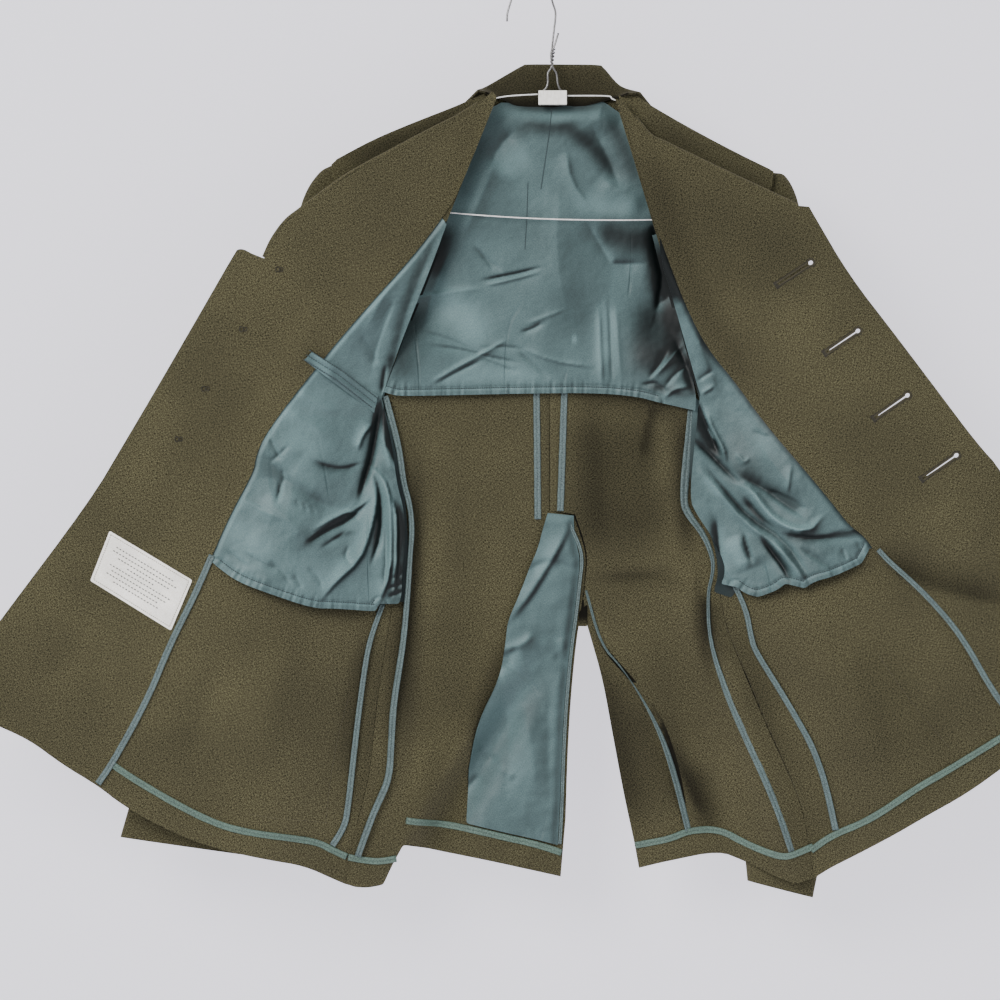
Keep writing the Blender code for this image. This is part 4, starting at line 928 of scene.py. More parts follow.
# path of each crease, its left and right widths, its height
FRONT_CREASES = [
    ([(329, -548), (357, -571), (391, -588), (448, -602), (487, -610)], 22, 5, -4.6),
    ([(185, -622), (204, -667), (224, -715), (237, -744), (249, -772), (262, -811)], 1, 1, -0.9),
    ([(226, -610), (231, -629), (235, -646)], 1.2, 1.2, -0.5),
    ([(206, -636), (228, -684), (262, -752)], 10, 14, -1.6),
    ([(293, -636), (314, -694), (337, -752)], 14, 20, 1.8),
    ([(333, -636), (381, -706), (416, -752)], 16, 12, -1.4),
    ([(256, -310), (295, -358), (333, -425)], 24, 30, 1.6),
    ([(180, -252), (228, -339), (285, -444)], 26, 22, -1.6),
    ([(-178, -694), (-188, -732), (-195, -770), (-199, -812)], 1.2, 1.2, -0.5),
    ([(-155, -636), (-166, -694), (-176, -780)], 9, 6, -2.2),
    ([(-233, -617), (-252, -684), (-260, -761)], 18, 24, 1.8),
    ([(-291, -646), (-314, -694), (-329, -761)], 16, 14, -1.6),
    ([(-324, -387), (-358, -473), (-396, -560)], 26, 30, 1.8),
    ([(-224, -310), (-260, -396), (-297, -473)], 22, 26, -1.4),
    ([(-473, -675), (-435, -656), (-396, -665)], 20, 16, -1.6),
    ([(391, -502), (410, -521), (439, -537)], 14, 18, 1.6),
]


# painted shade in the hollows and painted highlight on the ridges of the fronts and facings: path, left and
# right widths, tone
FRONT_PAINTED_SHADING = [
    ([(112, -147), (194, -238), (256, -310)], 60, 60, -0.15),
    ([(300, -636), (324, -694), (352, -761)], 60, 60, -0.13),
    ([(333, -552), (357, -573), (391, -587), (458, -602)], 16, 6, -0.34),
    ([(-306, -556), (-252, -588), (-195, -610), (-128, -604)], 6, 10, -0.26),
    ([(199, -594), (256, -587), (333, -560)], 12, 6, -0.30),
    ([(-53, -128), (-74, -214), (-108, -281), (-176, -358)], 14, 16, -0.12),
    ([(103, -137), (124, -214), (151, -300), (218, -406)], 16, 22, -0.20),
    ([(-149, -617), (-155, -713), (-176, -828)], 14, 12, -0.22),
    ([(199, -636), (229, -732), (262, -838)], 12, 16, -0.16),
    ([(-156, -619), (-176, -684), (-187, -771)], 8, 8, -0.18),
] + TAPE_SHADE


def front_lift(x, z):
    return creased(x, z, FRONT_CREASES)


def facing_lift(edge, inner):
    """On the shell; pressed down at the front edge, and rolled a little at the lining."""
    def lift(x, z):
        pressed = np.exp(-(off_line(x, z, edge) / 5.0) ** 2)
        rolled = np.exp(-(off_line(x, z, inner) / 4.0) ** 2)
        waves = 0.2 * uneven(x, z, 40.0, 5.0)
        return front_lift(x, z) + GAP + FACING + 0.35 * rolled - 0.35 * pressed + waves
    return lift


roll = shifted(RIGHT_ROLL, ROLL_INSET)
outline = roll + RIGHT_EDGE + RIGHT_HEM[:-1] + moved(RIGHT_SIDE[::-1], -GAP / 2.0)
cloth("front_right_wool", outline, right_front, front_lift, SHELL, "wool", ["front_right"], grain=-24.0,
      painted_shading=FRONT_PAINTED_SHADING)
lower = [p for p in RIGHT_HEM if p[0] < RIGHT_FACING_EDGE[-1][0] - 3.0]
outline = roll + RIGHT_EDGE + lower + RIGHT_FACING_EDGE[::-1]
cloth("facing_right_wool", outline, right_front, facing_lift(RIGHT_EDGE, RIGHT_FACING_EDGE), FACING,
      "wool", ["facing_right"], grain=-24.0, painted_shading=FRONT_PAINTED_SHADING)

roll = shifted(LEFT_ROLL, -ROLL_INSET)
outline = roll + LEFT_EDGE + LEFT_HEM[:-1] + moved(LEFT_SIDE[::-1], GAP / 2.0)
cloth("front_left_wool", outline, left_front, front_lift, SHELL, "wool", ["front_left"], grain=30.0,
      holes=holes, painted_shading=FRONT_PAINTED_SHADING)
lower = [p for p in LEFT_HEM if p[0] > LEFT_FACING_EDGE[-1][0] + 3.0]
outline = roll + LEFT_EDGE + lower + LEFT_FACING_EDGE[::-1]
cloth("facing_left_wool", outline, left_front, facing_lift(LEFT_EDGE, LEFT_FACING_EDGE), FACING,
      "wool", ["facing_left"], grain=30.0, holes=holes, painted_shading=FRONT_PAINTED_SHADING)

# %% [markdown]
# ## Shoulders
# The top of each front stays on the hanger, between the roll line and the shoulder
# seam, and only a band of it shows above the opened front.

# %% Shoulders
# painted shade along each shoulder band under the roll of its lapel: path, left and right widths, tone
SHOULDER_PAINTED_SHADE = [
    ([(-53, -122), (-99, -149), (-147, -170), (-191, -195)], 16, 16, -0.36),
    ([(103, -130), (151, -166), (199, -191), (247, -214)], 14, 14, -0.22),
]


# The seam strips behind the gaps are painted near black, as the shade inside each gap.
seam("centre_seam_wool", [(16.3, -390.0), (16.3, -512.9), (40.1, -516.7), (48.6, -541.0), (52.1, -558.7),
                          (50.2, -577.9), (48.0, -600.0)], back, 3.0)
seam("vent_head_wool", [(50.0, -584.0), (48.6, -606.0), (48.2, -624.0)], back, 8.0)

#   outline of each thin sheet painted near black, standing in for the shadow in the hollow beside the
#   standing edge of the vent
VENT_SHADOW_SHEETS = [[(59.5, -625.0), (67.2, -638.4), (75.8, -649.9), (87.4, -663.4), (100.8, -678.7), (95.0, -677.8),
            (81.6, -663.4), (70.1, -649.9), (62.4, -637.4)],
           [(112.3, -696.0), (121.0, -706.6), (129.6, -723.8), (138.2, -748.8), (144.0, -772.8),
            (147.8, -795.8), (143.0, -797.8), (135.4, -763.2), (125.8, -736.3), (118.1, -715.2)]]
for number, outline in enumerate(VENT_SHADOW_SHEETS):
    cloth(f"vent_hollow_{number}_wool", softened(outline), back, lambda x, z: back_lift(x, z) + 0.35, 0.3,
          "wool", painted_shading=[(outline, 30.0, 30.0, -1.0)])
# The side seam strips are painted near black too, as the shade inside the gaps.
seam("side_seam_right_wool", [p for p in RIGHT_SIDE if p[1] < UNDERARM_Z - 4.0], right_front, 2.0)
seam("side_seam_left_wool", [p for p in LEFT_SIDE if p[1] < UNDERARM_Z - 4.0], left_front, 2.0)


def shoulder_lift(x, z):
    """A long soft pull from the neck to the sleeve head."""
    pulls = [([(-193.9, -172.8), (-175.7, -164.2), (-147.8, -154.6), (-127.7, -144.0)], 3.0, 6.0, 1.4),
             ([(164.2, -152.6), (186.2, -162.2), (205.4, -173.8)], 6.0, 3.0, 1.4)]
    return creased(x, z, pulls)


outline = softened(RIGHT_SHOULDER_LINE)[::-1] + softened([
    (-40.3, -125.8), (-84.5, -219.7), (-134.0, -340.8)]) + softened([
        (-162.8, -344.6), (-168.8, -310.1), (-182.2, -242.9), (-192.0, -194.0), (-194.0, -179.4)])
cloth("shoulder_right_wool", outline, shoulder, shoulder_lift, SHELL, "wool", ["shoulder_right"], grain=-12.0,
      painted_shading=SHOULDER_PAINTED_SHADE)
outline = [(97.0, -110.6)] + softened(LEFT_SHOULDER_LINE) + softened([
    (231.6, -185.9), (229.6, -204.5), (213.2, -252.5), (193.8, -310.1), (183.4, -344.6)]) + softened([
        (155.0, -340.8), (122.0, -225.6), (86.5, -132.7), (82.5, -112.6)])
cloth("shoulder_left_wool", outline, shoulder, shoulder_lift, SHELL, "wool", ["shoulder_left"], grain=12.0,
      painted_shading=SHOULDER_PAINTED_SHADE)

# %% [markdown]
# ## Linings
# The linings are thin satin. Satin is slippery and never lies as flat as the wool, so
# each lining stands a few millimetres off its panel and is full of creases: long soft
# pulls from the shoulder, short sharp ones where it was folded away, and a fan of
# pleats down to the hem. Each crease is listed in a table. The squares are
# smaller than in the wool, because the creases are finer.

# %% Back lining
BACK_LINING = [
    (-30.8, -118.6), (-12.5, -118.8), (16.3, -124.4), (45.1, -119.0), (68.2, -117.6),
    (85.4, -129.6), (109.4, -187.2), (133.4, -266.9), (135.4, -310.1), (157.4, -398.4),
    (156.0, -416.2), (118.1, -407.6), (101.8, -402.8), (64.3, -398.9), (-7.7, -399.4),
    (-105.6, -401.8), (-131.5, -402.2), (-143.0, -398.4), (-111.4, -310.1), (-104.6, -266.9),
    (-73.0, -187.2), (-49.9, -129.6),
]
LINING = 1.0
BACK_LINING_TOP, BACK_LINING_HEM = BACK_LINING[:6], BACK_LINING[11:18]
# path of each crease, its left and right widths, its height
BACK_CREASES = [
    ([(-57, -257), (-43, -270), (-30, -282)], 1.2, 3, -1.8),
    ([(-50, -264), (-41, -276), (-37, -281)], 1.2, 2, -1),
    ([(-48, -290), (-27, -286), (-12, -283), (7, -278)], 1.2, 3, -3.4),
    ([(-45, -295), (-22, -290), (7, -282)], 3, 1.2, 2.2),
    ([(-100, -353), (-68, -357), (-47, -363), (-12, -370)], 1.2, 2.4, -1.9),
    ([(-105, -339), (-80, -347), (-55, -358)], 1.2, 2.4, -1.2),
    ([(-97, -388), (-72, -373), (-51, -362), (-26, -348)], 1.2, 2.6, 2.6),
    ([(-95, -391), (-70, -377), (-49, -367)], 1.2, 2.4, -2),
    ([(-52, -364), (-34, -372), (-14, -379)], 1.2, 2.4, -1.5),
    ([(-49, -355), (-21, -354), (-7, -358)], 1.2, 2.4, -1.3),
    ([(-14, -358), (1, -371), (16, -385)], 1.2, 2.4, -1.6),
    ([(-12, -355), (18, -368), (58, -374)], 2.4, 1.2, 1.6),
    ([(-12, -340), (-3, -338), (10, -331)], 1.2, 2.4, -1.8),
    ([(-7, -333), (9, -327), (32, -318)], 2, 1.2, 0.9),
    ([(64, -316), (65, -348), (67, -395)], 1.6, 4, 1.8),
    ([(73, -310), (75, -353), (76, -391)], 4, 1.6, -1.6),
    ([(80, -315), (82, -353), (85, -387)], 3, 5, 1.2),
    ([(51, -233), (62, -251), (76, -274), (110, -274)], 3, 16, -3),
    ([(116, -237), (122, -264), (129, -291), (119, -320)], 9, 4, -9),
    ([(130, -358), (122, -373), (112, -385)], 1.4, 3.6, -2.4),
    ([(145, -352), (130, -370), (114, -385)], 2.4, 1.4, 1.8),
    ([(151, -370), (137, -381), (126, -395)], 1.4, 2.6, -1.8),
    ([(137, -347), (147, -370), (155, -398)], 4, 6, -4),
    ([(104, -391), (118, -389), (130, -398)], 1.4, 2.4, -2),
    ([(126, -404), (137, -395), (151, -393)], 2, 1.4, 1.8),
    ([(-32, -166), (-47, -204), (-68, -249)], 14, 20, 3),
    ([(-17, -145), (-34, -162), (-41, -183)], 9, 8, -2.6),
    ([(55, -139), (70, -166), (85, -204)], 13, 10, -3.2),
    ([(64, -190), (85, -206), (108, -222)], 10, 14, 2.4),
    ([(32, -166), (37, -195), (55, -220)], 2, 8, 1.8),
    ([(-78, -256), (-97, -300), (-105, -339)], 8, 12, -2.6),
    ([(-128, -310), (-89, -302), (-49, -298)], 2, 9, 2.2),
    ([(26, -204), (22, -262), (32, -320)], 18, 16, 1.8),
]


# Painted highlight and painted shade on the satin: paler where it faces the lamps and on ridges, darker where
# it faces away and in hollows.
# path, left and right widths, tone
BACK_LINING_PAINTED_SHADING = [
    ([(125, -287), (131, -312), (141, -341)], 7, 8, -0.50),
    ([(117, -235), (124, -270), (128, -306)], 9, 12, -1.00),
    ([(59, -241), (84, -249), (112, -254)], 15, 15, -0.48),
    ([(114, -306), (108, -345), (112, -387)], 40, 16, -0.42),
    ([(133, -320), (137, -348), (130, -379)], 10, 10, -0.26),
    ([(149, -358), (153, -383), (157, -404)], 12, 7, -0.75),
    ([(-80, -235), (-89, -262), (-97, -291)], 10, 12, -0.50),
    ([(-105, -310), (-124, -348), (-130, -393)], 14, 14, -0.30),
    ([(-93, -312), (-68, -322), (-49, -354)], 17, 14, 0.34),
    ([(-99, -390), (-32, -380), (28, -386)], 9, 8, 0.24),
    ([(36, -214), (70, -220), (108, -226)], 10, 9, 0.30),
    ([(-27, -156), (-3, -141), (34, -143), (64, -166), (87, -203)], 8, 9, -0.40),
    ([(72, -124), (85, -156), (103, -204)], 8, 12, -0.34),
    ([(-43, -147), (-60, -185), (-70, -219)], 8, 10, -0.22),
    ([(-32, -193), (-20, -174), (-1, -166)], 12, 12, 0.26),
    ([(68, -306), (70, -339), (70, -379)], 6, 7, 0.30),
    ([(-26, -243), (26, -252), (55, -300), (36, -358)], 22, 22, -0.12),
    ([(-32, -121), (16, -125), (76, -122)], 5, 5, -0.45),
    ([(108, -391), (130, -396), (151, -402)], 4, 4, -0.35),
    ([(37, -347), (43, -347)], 4, 4, 0.40),
]


def in_shade(creases, share=0.05):
    """The narrow paths as tones too, so that a hollow is darker and a ridge is lighter."""
    return [(path, left, right, height * share)
            for path, left, right, height in creases if left + right < 12.0]


def lining_hem(x, z, line, width=6.5):
    """A hem turned up and stitched, so it puckers: a thicker band with fine ripples."""
    gap, side, run, length = nearest(x, z, line)
    band = smooth((width + 1.0 - gap) / 2.0)
    stitched = np.exp(-((gap - width) / 1.1) ** 2)
    puckers = np.array([noise.noise(Vector((r / 3.4, 3.0, 7.0)))
                        + 0.5 * noise.noise(Vector((r / 9.0, 5.0, 7.0)))
                        for r in run])
    near = smooth((2.6 * width - gap) / (1.9 * width))
    return 0.5 * band - 0.9 * stitched + 0.75 * puckers * near


def back_lining_lift(x, z):
    hem = off_line(x, z, BACK_LINING_HEM)
    loose = 1.0 - smooth((hem - 8.0) / 60.0)
    lift = GAP + LINING + 4.6 + 1.5 * loose
    lift += creased(x, z, BACK_CREASES, 1.2) + lining_hem(x, z, BACK_LINING_HEM)
    lift += 2.6 * uneven(x, z * 0.5, 62.0, 11.0) + 0.25 * uneven(x, z, 17.0, 4.0)
    lift += 0.12 * uneven(x + 0.5 * z, z - 0.5 * x, 6.0, 2.0)
    neck = 1.0 - smooth(off_line(x, z, BACK_LINING_TOP) / 18.0)
    return np.maximum(GAP + LINING, mix(lift, GAP + LINING + 0.4, 0.9 * neck))


outline = (softened(BACK_LINING[:6]) + softened(BACK_LINING[5:11])[1:] + softened(BACK_LINING[10:18])[1:]
           + softened(BACK_LINING[17:] + BACK_LINING[:1])[1:-1])
cloth("back_lining_satin", outline, back, back_lining_lift, LINING, "lining", ["back_lining"], step=1.4,
      painted_shading=BACK_LINING_PAINTED_SHADING + in_shade(BACK_CREASES))

# %% [markdown]
# The linings of the fronts are sewn under the edge of the facing and hang free below,
# so near the facing they start lower than its edge and swell out from there. Near the
# side seam they are gathered: the pleats fan out downwards and end at the hem.

# %% Linings of the fronts
RIGHT_LINING_HEM = [
    (-302.4, -565.4), (-283.2, -579.8), (-249.6, -592.3), (-209.3, -605.8), (-191.0, -605.8),
    (-151.7, -609.1), (-146.9, -601.9), (-128.6, -601.9), (-126.2, -592.3), (-126.2, -577.9),
    (-123.8, -553.9), (-122.4, -531.8), (-124.3, -509.8), (-131.0, -485.8), (-134.9, -452.2),
    (-142.1, -419.5),
]
LEFT_LINING_HEM = [
    (321.6, -548.2), (313.9, -562.6), (287.0, -575.0), (267.8, -579.8), (259.2, -586.6),
    (241.0, -581.8), (233.3, -588.5), (215.6, -595.2), (204.5, -592.3), (194.9, -585.6),
    (180.5, -582.7), (184.3, -574.1), (183.8, -561.6), (172.8, -538.6), (156.5, -514.6),
    (150.7, -501.1), (154.1, -458.9), (158.4, -425.3),
]
RIGHT_CREASES = [
    ([(-150, -478), (-150, -506), (-157, -537), (-166, -560), (-189, -581), (-202, -597)], 1.3, 9, 6.5),
    ([(-157, -469), (-143, -481), (-138, -497), (-136, -525), (-136, -571), (-148, -602)], 1.3, 7, 6.5),
    ([(-143, -489), (-132, -508), (-130, -540), (-133, -594)], 1.3, 4, 5),
    ([(-153, -473), (-146, -502), (-146, -535), (-156, -565)], 4, 1.3, -5),
    ([(-141, -521), (-140, -555), (-143, -588)], 1.3, 3, -4),
    ([(-145, -406), (-151, -439), (-156, -465), (-162, -483), (-166, -500)], 4, 3, -8),
    ([(-143, -414), (-134, -444), (-127, -477)], 3, 3, -5.5),
    ([(-145, -437), (-141, -456), (-135, -475)], 3, 2, 3),
    ([(-215, -543), (-199, -532), (-176, -522), (-160, -505)], 2, 4, -4.6),
    ([(-210, -531), (-187, -517), (-170, -512), (-156, -500)], 3, 1.3, 3.4),
    ([(-203, -548), (-189, -539), (-178, -531)], 1.3, 3, -2),
    ([(-176, -545), (-180, -556), (-174, -565)], 1.3, 2, -1.6),
    ([(-252, -441), (-246, -454), (-240, -465)], 1.2, 2.4, -1.6),
    ([(-233, -450), (-243, -460), (-254, -468)], 1.2, 2.4, -1.3),
    ([(-239, -474), (-241, -491), (-244, -503)], 1.3, 2.6, -3.2),
    ([(-227, -502), (-222, -510)], 1.2, 1.8, -0.8),
    ([(-220, -504), (-215, -514)], 1.2, 1.8, -0.8),
    ([(-213, -506), (-208, -516)], 1.2, 1.8, -0.8),
    ([(-210, -464), (-199, -469), (-185, -472), (-174, -470), (-164, -466)], 1.6, 5, -2.6),
    ([(-155, -429), (-164, -441), (-168, -454)], 1.4, 4, 3.4),
    ([(-264, -462), (-243, -478), (-204, -506), (-183, -511)], 7, 9, -3.4),
    ([(-260, -502), (-233, -521), (-212, -544)], 9, 10, 3),
    ([(-228, -395), (-208, -410), (-185, -420)], 6, 5, 1.8),
    ([(-239, -416), (-218, -427), (-195, -443)], 6, 5, 1.6),
    ([(-256, -433), (-243, -448), (-220, -460)], 8, 10, 2),
    ([(-281, -500), (-260, -510), (-239, -521)], 1.4, 8, 1.4),
    ([(-276, -552), (-260, -562), (-243, -569)], 1.3, 3, -1.4),
    ([(-252, -560), (-239, -571), (-231, -583)], 1.3, 3, -1.5),
    ([(-293, -548), (-281, -560), (-270, -567)], 1.3, 3, -1.2),
    ([(-228, -573), (-220, -587)], 1.3, 3, -1.3),
    ([(-216, -565), (-204, -577), (-201, -588)], 1.3, 3, -1.3),
    ([(-135, -577), (-126, -573)], 1.2, 2, -1.6),
    ([(-139, -587), (-125, -582)], 1.2, 2, -1.8),
    ([(-139, -595), (-125, -590)], 1.2, 2, -1.8),
    ([(-126, -262), (-139, -297), (-160, -339)], 6, 8, 1.6),
    ([(-133, -310), (-149, -348), (-155, -379)], 1.3, 5, -1.8),
    ([(-164, -345), (-156, -358), (-149, -373)], 1.3, 3, -1.8),
    ([(-141, -372), (-143, -387), (-145, -402)], 1.3, 3, -3),
]
LEFT_CREASES = [
    ([(157, -404), (168, -433), (181, -462)], 3, 9, -6),
    ([(166, -417), (175, -438), (183, -452), (186, -466)], 1.4, 2.6, 3.2),
    ([(153, -441), (166, -454), (181, -469), (199, -487)], 3, 3, -3.4),
    ([(199, -479), (225, -494), (248, -511), (262, -520)], 9, 3, -4.5),
    ([(197, -487), (210, -493), (220, -508), (231, -521), (251, -531), (266, -529), (276, -518)], 2.4, 4,
     7.5),
    ([(202, -498), (215, -515), (225, -525), (237, -535)], 2, 4, -3.8),
    ([(166, -468), (185, -492), (208, -519), (241, -540), (266, -580)], 1.4, 4, -3.4),
    ([(160, -473), (180, -496), (202, -523), (233, -546), (259, -584)], 3, 2.4, 4.5),
    ([(237, -534), (252, -537), (276, -539), (303, -532), (327, -528)], 1.4, 5, -3.8),
    ([(194, -536), (201, -552), (208, -569)], 12, 12, 3.5),
    ([(202, -533), (206, -548), (211, -563)], 1.3, 4, -3.4),
    ([(176, -521), (179, -545), (183, -573)], 3, 3, -3.4),
    ([(218, -535), (229, -552), (239, -565), (246, -580)], 4, 2.4, -4.9),
    ([(228, -539), (247, -561), (262, -583)], 3, 3, 4),
    ([(254, -548), (276, -562), (293, -573)], 4, 1.4, -2.4),
    ([(225, -492), (243, -500), (262, -511)], 1.4, 6, -2.6),
    ([(174, -378), (168, -381), (158, -388)], 1.2, 2.4, -1.6),
    ([(174, -393), (162, -400)], 1.3, 2.4, 1.8),
    ([(195, -456), (203, -466), (208, -460)], 1.3, 2.4, 1.4),
    ([(247, -469), (245, -483), (243, -496)], 1.3, 3, 1.4),
    ([(210, -435), (222, -441), (233, -439)], 1.3, 3, -1.2),
    ([(216, -444), (233, -471), (256, -500)], 9, 8, 2),
    ([(155, -329), (164, -368), (181, -406)], 6, 8, 1.6),
    ([(295, -548), (300, -560)], 1.2, 2.4, -1.2),
    ([(310, -542), (316, -556)], 1.2, 2.4, -1.2),
    ([(181, -569), (193, -583)], 1.3, 3, -1.8),
]


# painted shade in the hollows, beside the side tapes and the facing edges, and painted highlight on the
# ridges of the front linings: path, left and right widths, tone
FRONT_LINING_PAINTED_SHADING = [
    ([(-144, -406), (-139, -435), (-130, -471)], 4, 6, -0.80),
    ([(-151, -408), (-153, -433), (-156, -460), (-163, -483), (-170, -502)], 7, 1.6, -0.95),
    ([(-221, -545), (-200, -530), (-180, -517), (-166, -502)], 1.6, 7, -0.55),
    ([(-124, -502), (-121, -550), (-124, -602)], 5, 6, -0.60),
    ([(-132, -560), (-133, -579), (-135, -600)], 7, 7, -0.45),
    ([(-264, -462), (-243, -478), (-204, -506), (-183, -511)], 8, 10, -0.20),
    ([(-88, -235), (-108, -281), (-130, -339), (-139, -398)], 3, 7, -0.40),
    ([(-135, -358), (-139, -379), (-143, -400)], 4, 6, -0.35),
    ([(-185, -512), (-170, -514), (-158, -509)], 2, 2, 0.45),
    ([(-295, -521), (-252, -556), (-195, -579)], 12, 12, 0.14),
    ([(-245, -435), (-214, -452), (-185, -456)], 14, 14, 0.10),
    ([(-153, -471), (-143, -478), (-136, -488), (-134, -507), (-136, -537), (-143, -569)], 1.6, 3.4, 0.32),
    ([(-156, -502), (-160, -531), (-174, -556), (-191, -577)], 1.2, 4, 0.24),
    ([(-148, -492), (-148, -521), (-155, -552)], 3, 1.4, -0.50),
    ([(-130, -502), (-128, -531), (-131, -556)], 3, 1.4, -0.50),
    ([(-210, -464), (-199, -469), (-185, -472), (-174, -470), (-164, -466)], 1.4, 5, -0.30),
    ([(-141, -450), (-136, -464), (-132, -475)], 2.4, 2.4, 0.60),
    ([(-264, -439), (-239, -421), (-228, -410)], 9, 9, 0.16),
    ([(-193, -540), (-181, -535), (-170, -531)], 1.6, 3, -0.35),
    ([(157, -406), (166, -429), (176, -450), (184, -465)], 3, 8, -1.00),
    ([(166, -431), (171, -439), (174, -445)], 1.2, 1.2, 0.75),
    ([(153, -441), (166, -454), (181, -469), (199, -487)], 3, 3, -0.36),
    ([(187, -468), (206, -483), (228, -496), (249, -512), (264, -521)], 10, 2, -0.29),
    ([(203, -500), (215, -516), (226, -526)], 2.4, 3, -0.36),
    ([(204, -491), (214, -497), (223, -510), (233, -521), (252, -530), (268, -527)], 1.6, 2.4, 0.50),
    ([(237, -534), (256, -538), (276, -539), (303, -532), (329, -528)], 1.2, 5, -0.36),
    ([(168, -473), (187, -495), (210, -522), (243, -543)], 1.2, 2.4, -0.30),
    ([(220, -539), (231, -554), (241, -567), (247, -581)], 4, 3, -0.45),
    ([(187, -537), (195, -554), (203, -569)], 8, 6, 0.26),
    ([(203, -533), (207, -548), (212, -562)], 1.4, 4, -0.22),
    ([(172, -516), (176, -545), (181, -575)], 3, 5, -0.36),
    ([(162, -479), (173, -490), (183, -496)], 6, 6, 0.24),
    ([(189, -406), (228, -454), (262, -502)], 8, 8, 0.10),
    ([(160, -339), (166, -368), (176, -395)], 5, 7, -0.16),
    ([(110, -239), (121, -274), (132, -300), (139, -316)], 12, 10, -0.95),
    ([(256, -552), (285, -550), (320, -544)], 7, 7, -0.07),
    (RIGHT_FACING_EDGE, 2.2, 2.2, -0.34),
    (LEFT_FACING_EDGE, 2.2, 2.2, -0.34),
]


def front_lining_lift(facing, lining_side, hem, creases, seed):
    def lift(x, z):
        beside, side, run, length = nearest(x, z, facing)
        inside = beside * side * lining_side
        sewn, risen = smooth(inside / 5.0), smooth(inside / 60.0)
        gap = off_line(x, z, hem)
        puff = smooth((-z - 330.0) / 90.0)
        height = 0.5 + risen * (1.6 + 5.0 * puff) + 1.6 * risen * (1.0 - smooth(gap / 30.0))
        height += creased(x, z, creases, 1.2)
        height += 1.6 * uneven(x, z * 0.6, 44.0, seed) + 0.35 * uneven(x, z, 13.0, seed + 1.0)
        height += 0.16 * uneven(x - 0.4 * z, z + 0.4 * x, 5.0, seed + 2.0)
        low = 0.25 + 0.2 * uneven(x, z, 8.0, seed)
        return mix(low, np.maximum(GAP + LINING, GAP + LINING + height + lining_hem(x, z, hem)), sewn)
    return lift


right_hem, left_hem = softened(RIGHT_LINING_HEM[:7]), softened(LEFT_LINING_HEM[:10])
right_lining_lift = front_lining_lift(RIGHT_FACING_EDGE, -1.0, right_hem, RIGHT_CREASES, 21.0)
left_lining_lift = front_lining_lift(LEFT_FACING_EDGE, 1.0, left_hem, LEFT_CREASES, 31.0)
facing = [p for p in RIGHT_FACING_EDGE if -591.0 < p[1] < -228.0]
sewn = [p for p in shifted(facing, -3.0) if p[1] > -566.0]
inner = softened([(-145.4, -403.2), (-129.4, -358.1), (-114.6, -320.6), (-97.3, -277.4), (-82.9, -238.0)])
cloth("front_lining_right_satin", sewn + right_hem + softened(RIGHT_LINING_HEM[6:])[1:] + inner, right_front,
      right_lining_lift, LINING, "lining", ["front_lining_right"], step=1.4,
      painted_shading=FRONT_LINING_PAINTED_SHADING + in_shade(RIGHT_CREASES))
facing = [p for p in LEFT_FACING_EDGE if -558.0 < p[1] < -233.0]
sewn = [p for p in shifted(facing, 3.0) if p[1] > -549.0]
inner = softened([(160.6, -400.3), (148.2, -358.1), (137.1, -320.6), (124.2, -277.4)])
cloth("front_lining_left_satin", sewn + left_hem + softened(LEFT_LINING_HEM[9:])[1:] + inner, left_front,
      left_lining_lift, LINING, "lining", ["front_lining_left"], step=1.4,
      painted_shading=FRONT_LINING_PAINTED_SHADING + in_shade(LEFT_CREASES, 0.03))

#   outline of what shows of each lining where it is turned under, beside the side tape, painted darker as the
#   shade there
TURNED = [
    ("right",
     [(-146.9, -404.2), (-139.2, -423.4), (-130.6, -461.8), (-124.8, -490.6), (-121.0, -521.3),
      (-120.0, -559.7), (-121.9, -600.0), (-129.6, -600.0), (-129.6, -521.3), (-137.3, -473.3),
               (-146.9, -425.3)]),
    ("left",
     [(154.6, -402.2), (151.7, -444.5), (150.7, -484.8), (158.4, -509.8), (168.0, -529.0), (175.7, -550.1),
      (178.6, -573.1), (173.8, -590.4), (191.0, -596.2), (196.8, -586.6),
               (183.4, -555.8), (168.0, -521.3), (161.3, -492.5), (162.2, -444.5), (164.2, -409.9)]),
]
for side, outline in TURNED:
    cloth(f"turned_lining_{side}_satin", softened(outline), back, lambda x, z: np.full(x.shape, 1.1), 0.6,
          "lining", painted_shading=[(outline, 30.0, 30.0, -0.42)])
# The underarm strips are painted near black, as the shade between the front and back linings.
seam("underarm_right_satin",
     softened([(-146.9, -403.2), (-131.0, -358.1), (-116.2, -320.6), (-98.9, -277.4), (-84.5, -240.0),
               (-78.5, -225.0)]),
     back, 6.0, "lining", 4.4)
seam("underarm_left_satin",
     softened([(165.5, -413.0), (161.8, -400.3), (149.8, -358.1), (138.7, -320.6), (125.8, -277.4),
               (118.0, -246.0)]),
     back, 6.0, "lining", 4.4)

# %% [markdown]
# ## Vent cover
# The vent at the back is faced with satin. Its upper part is folded over on the slant
# and pressed, which leaves one sharp step, and pulls run in from the piped edge.

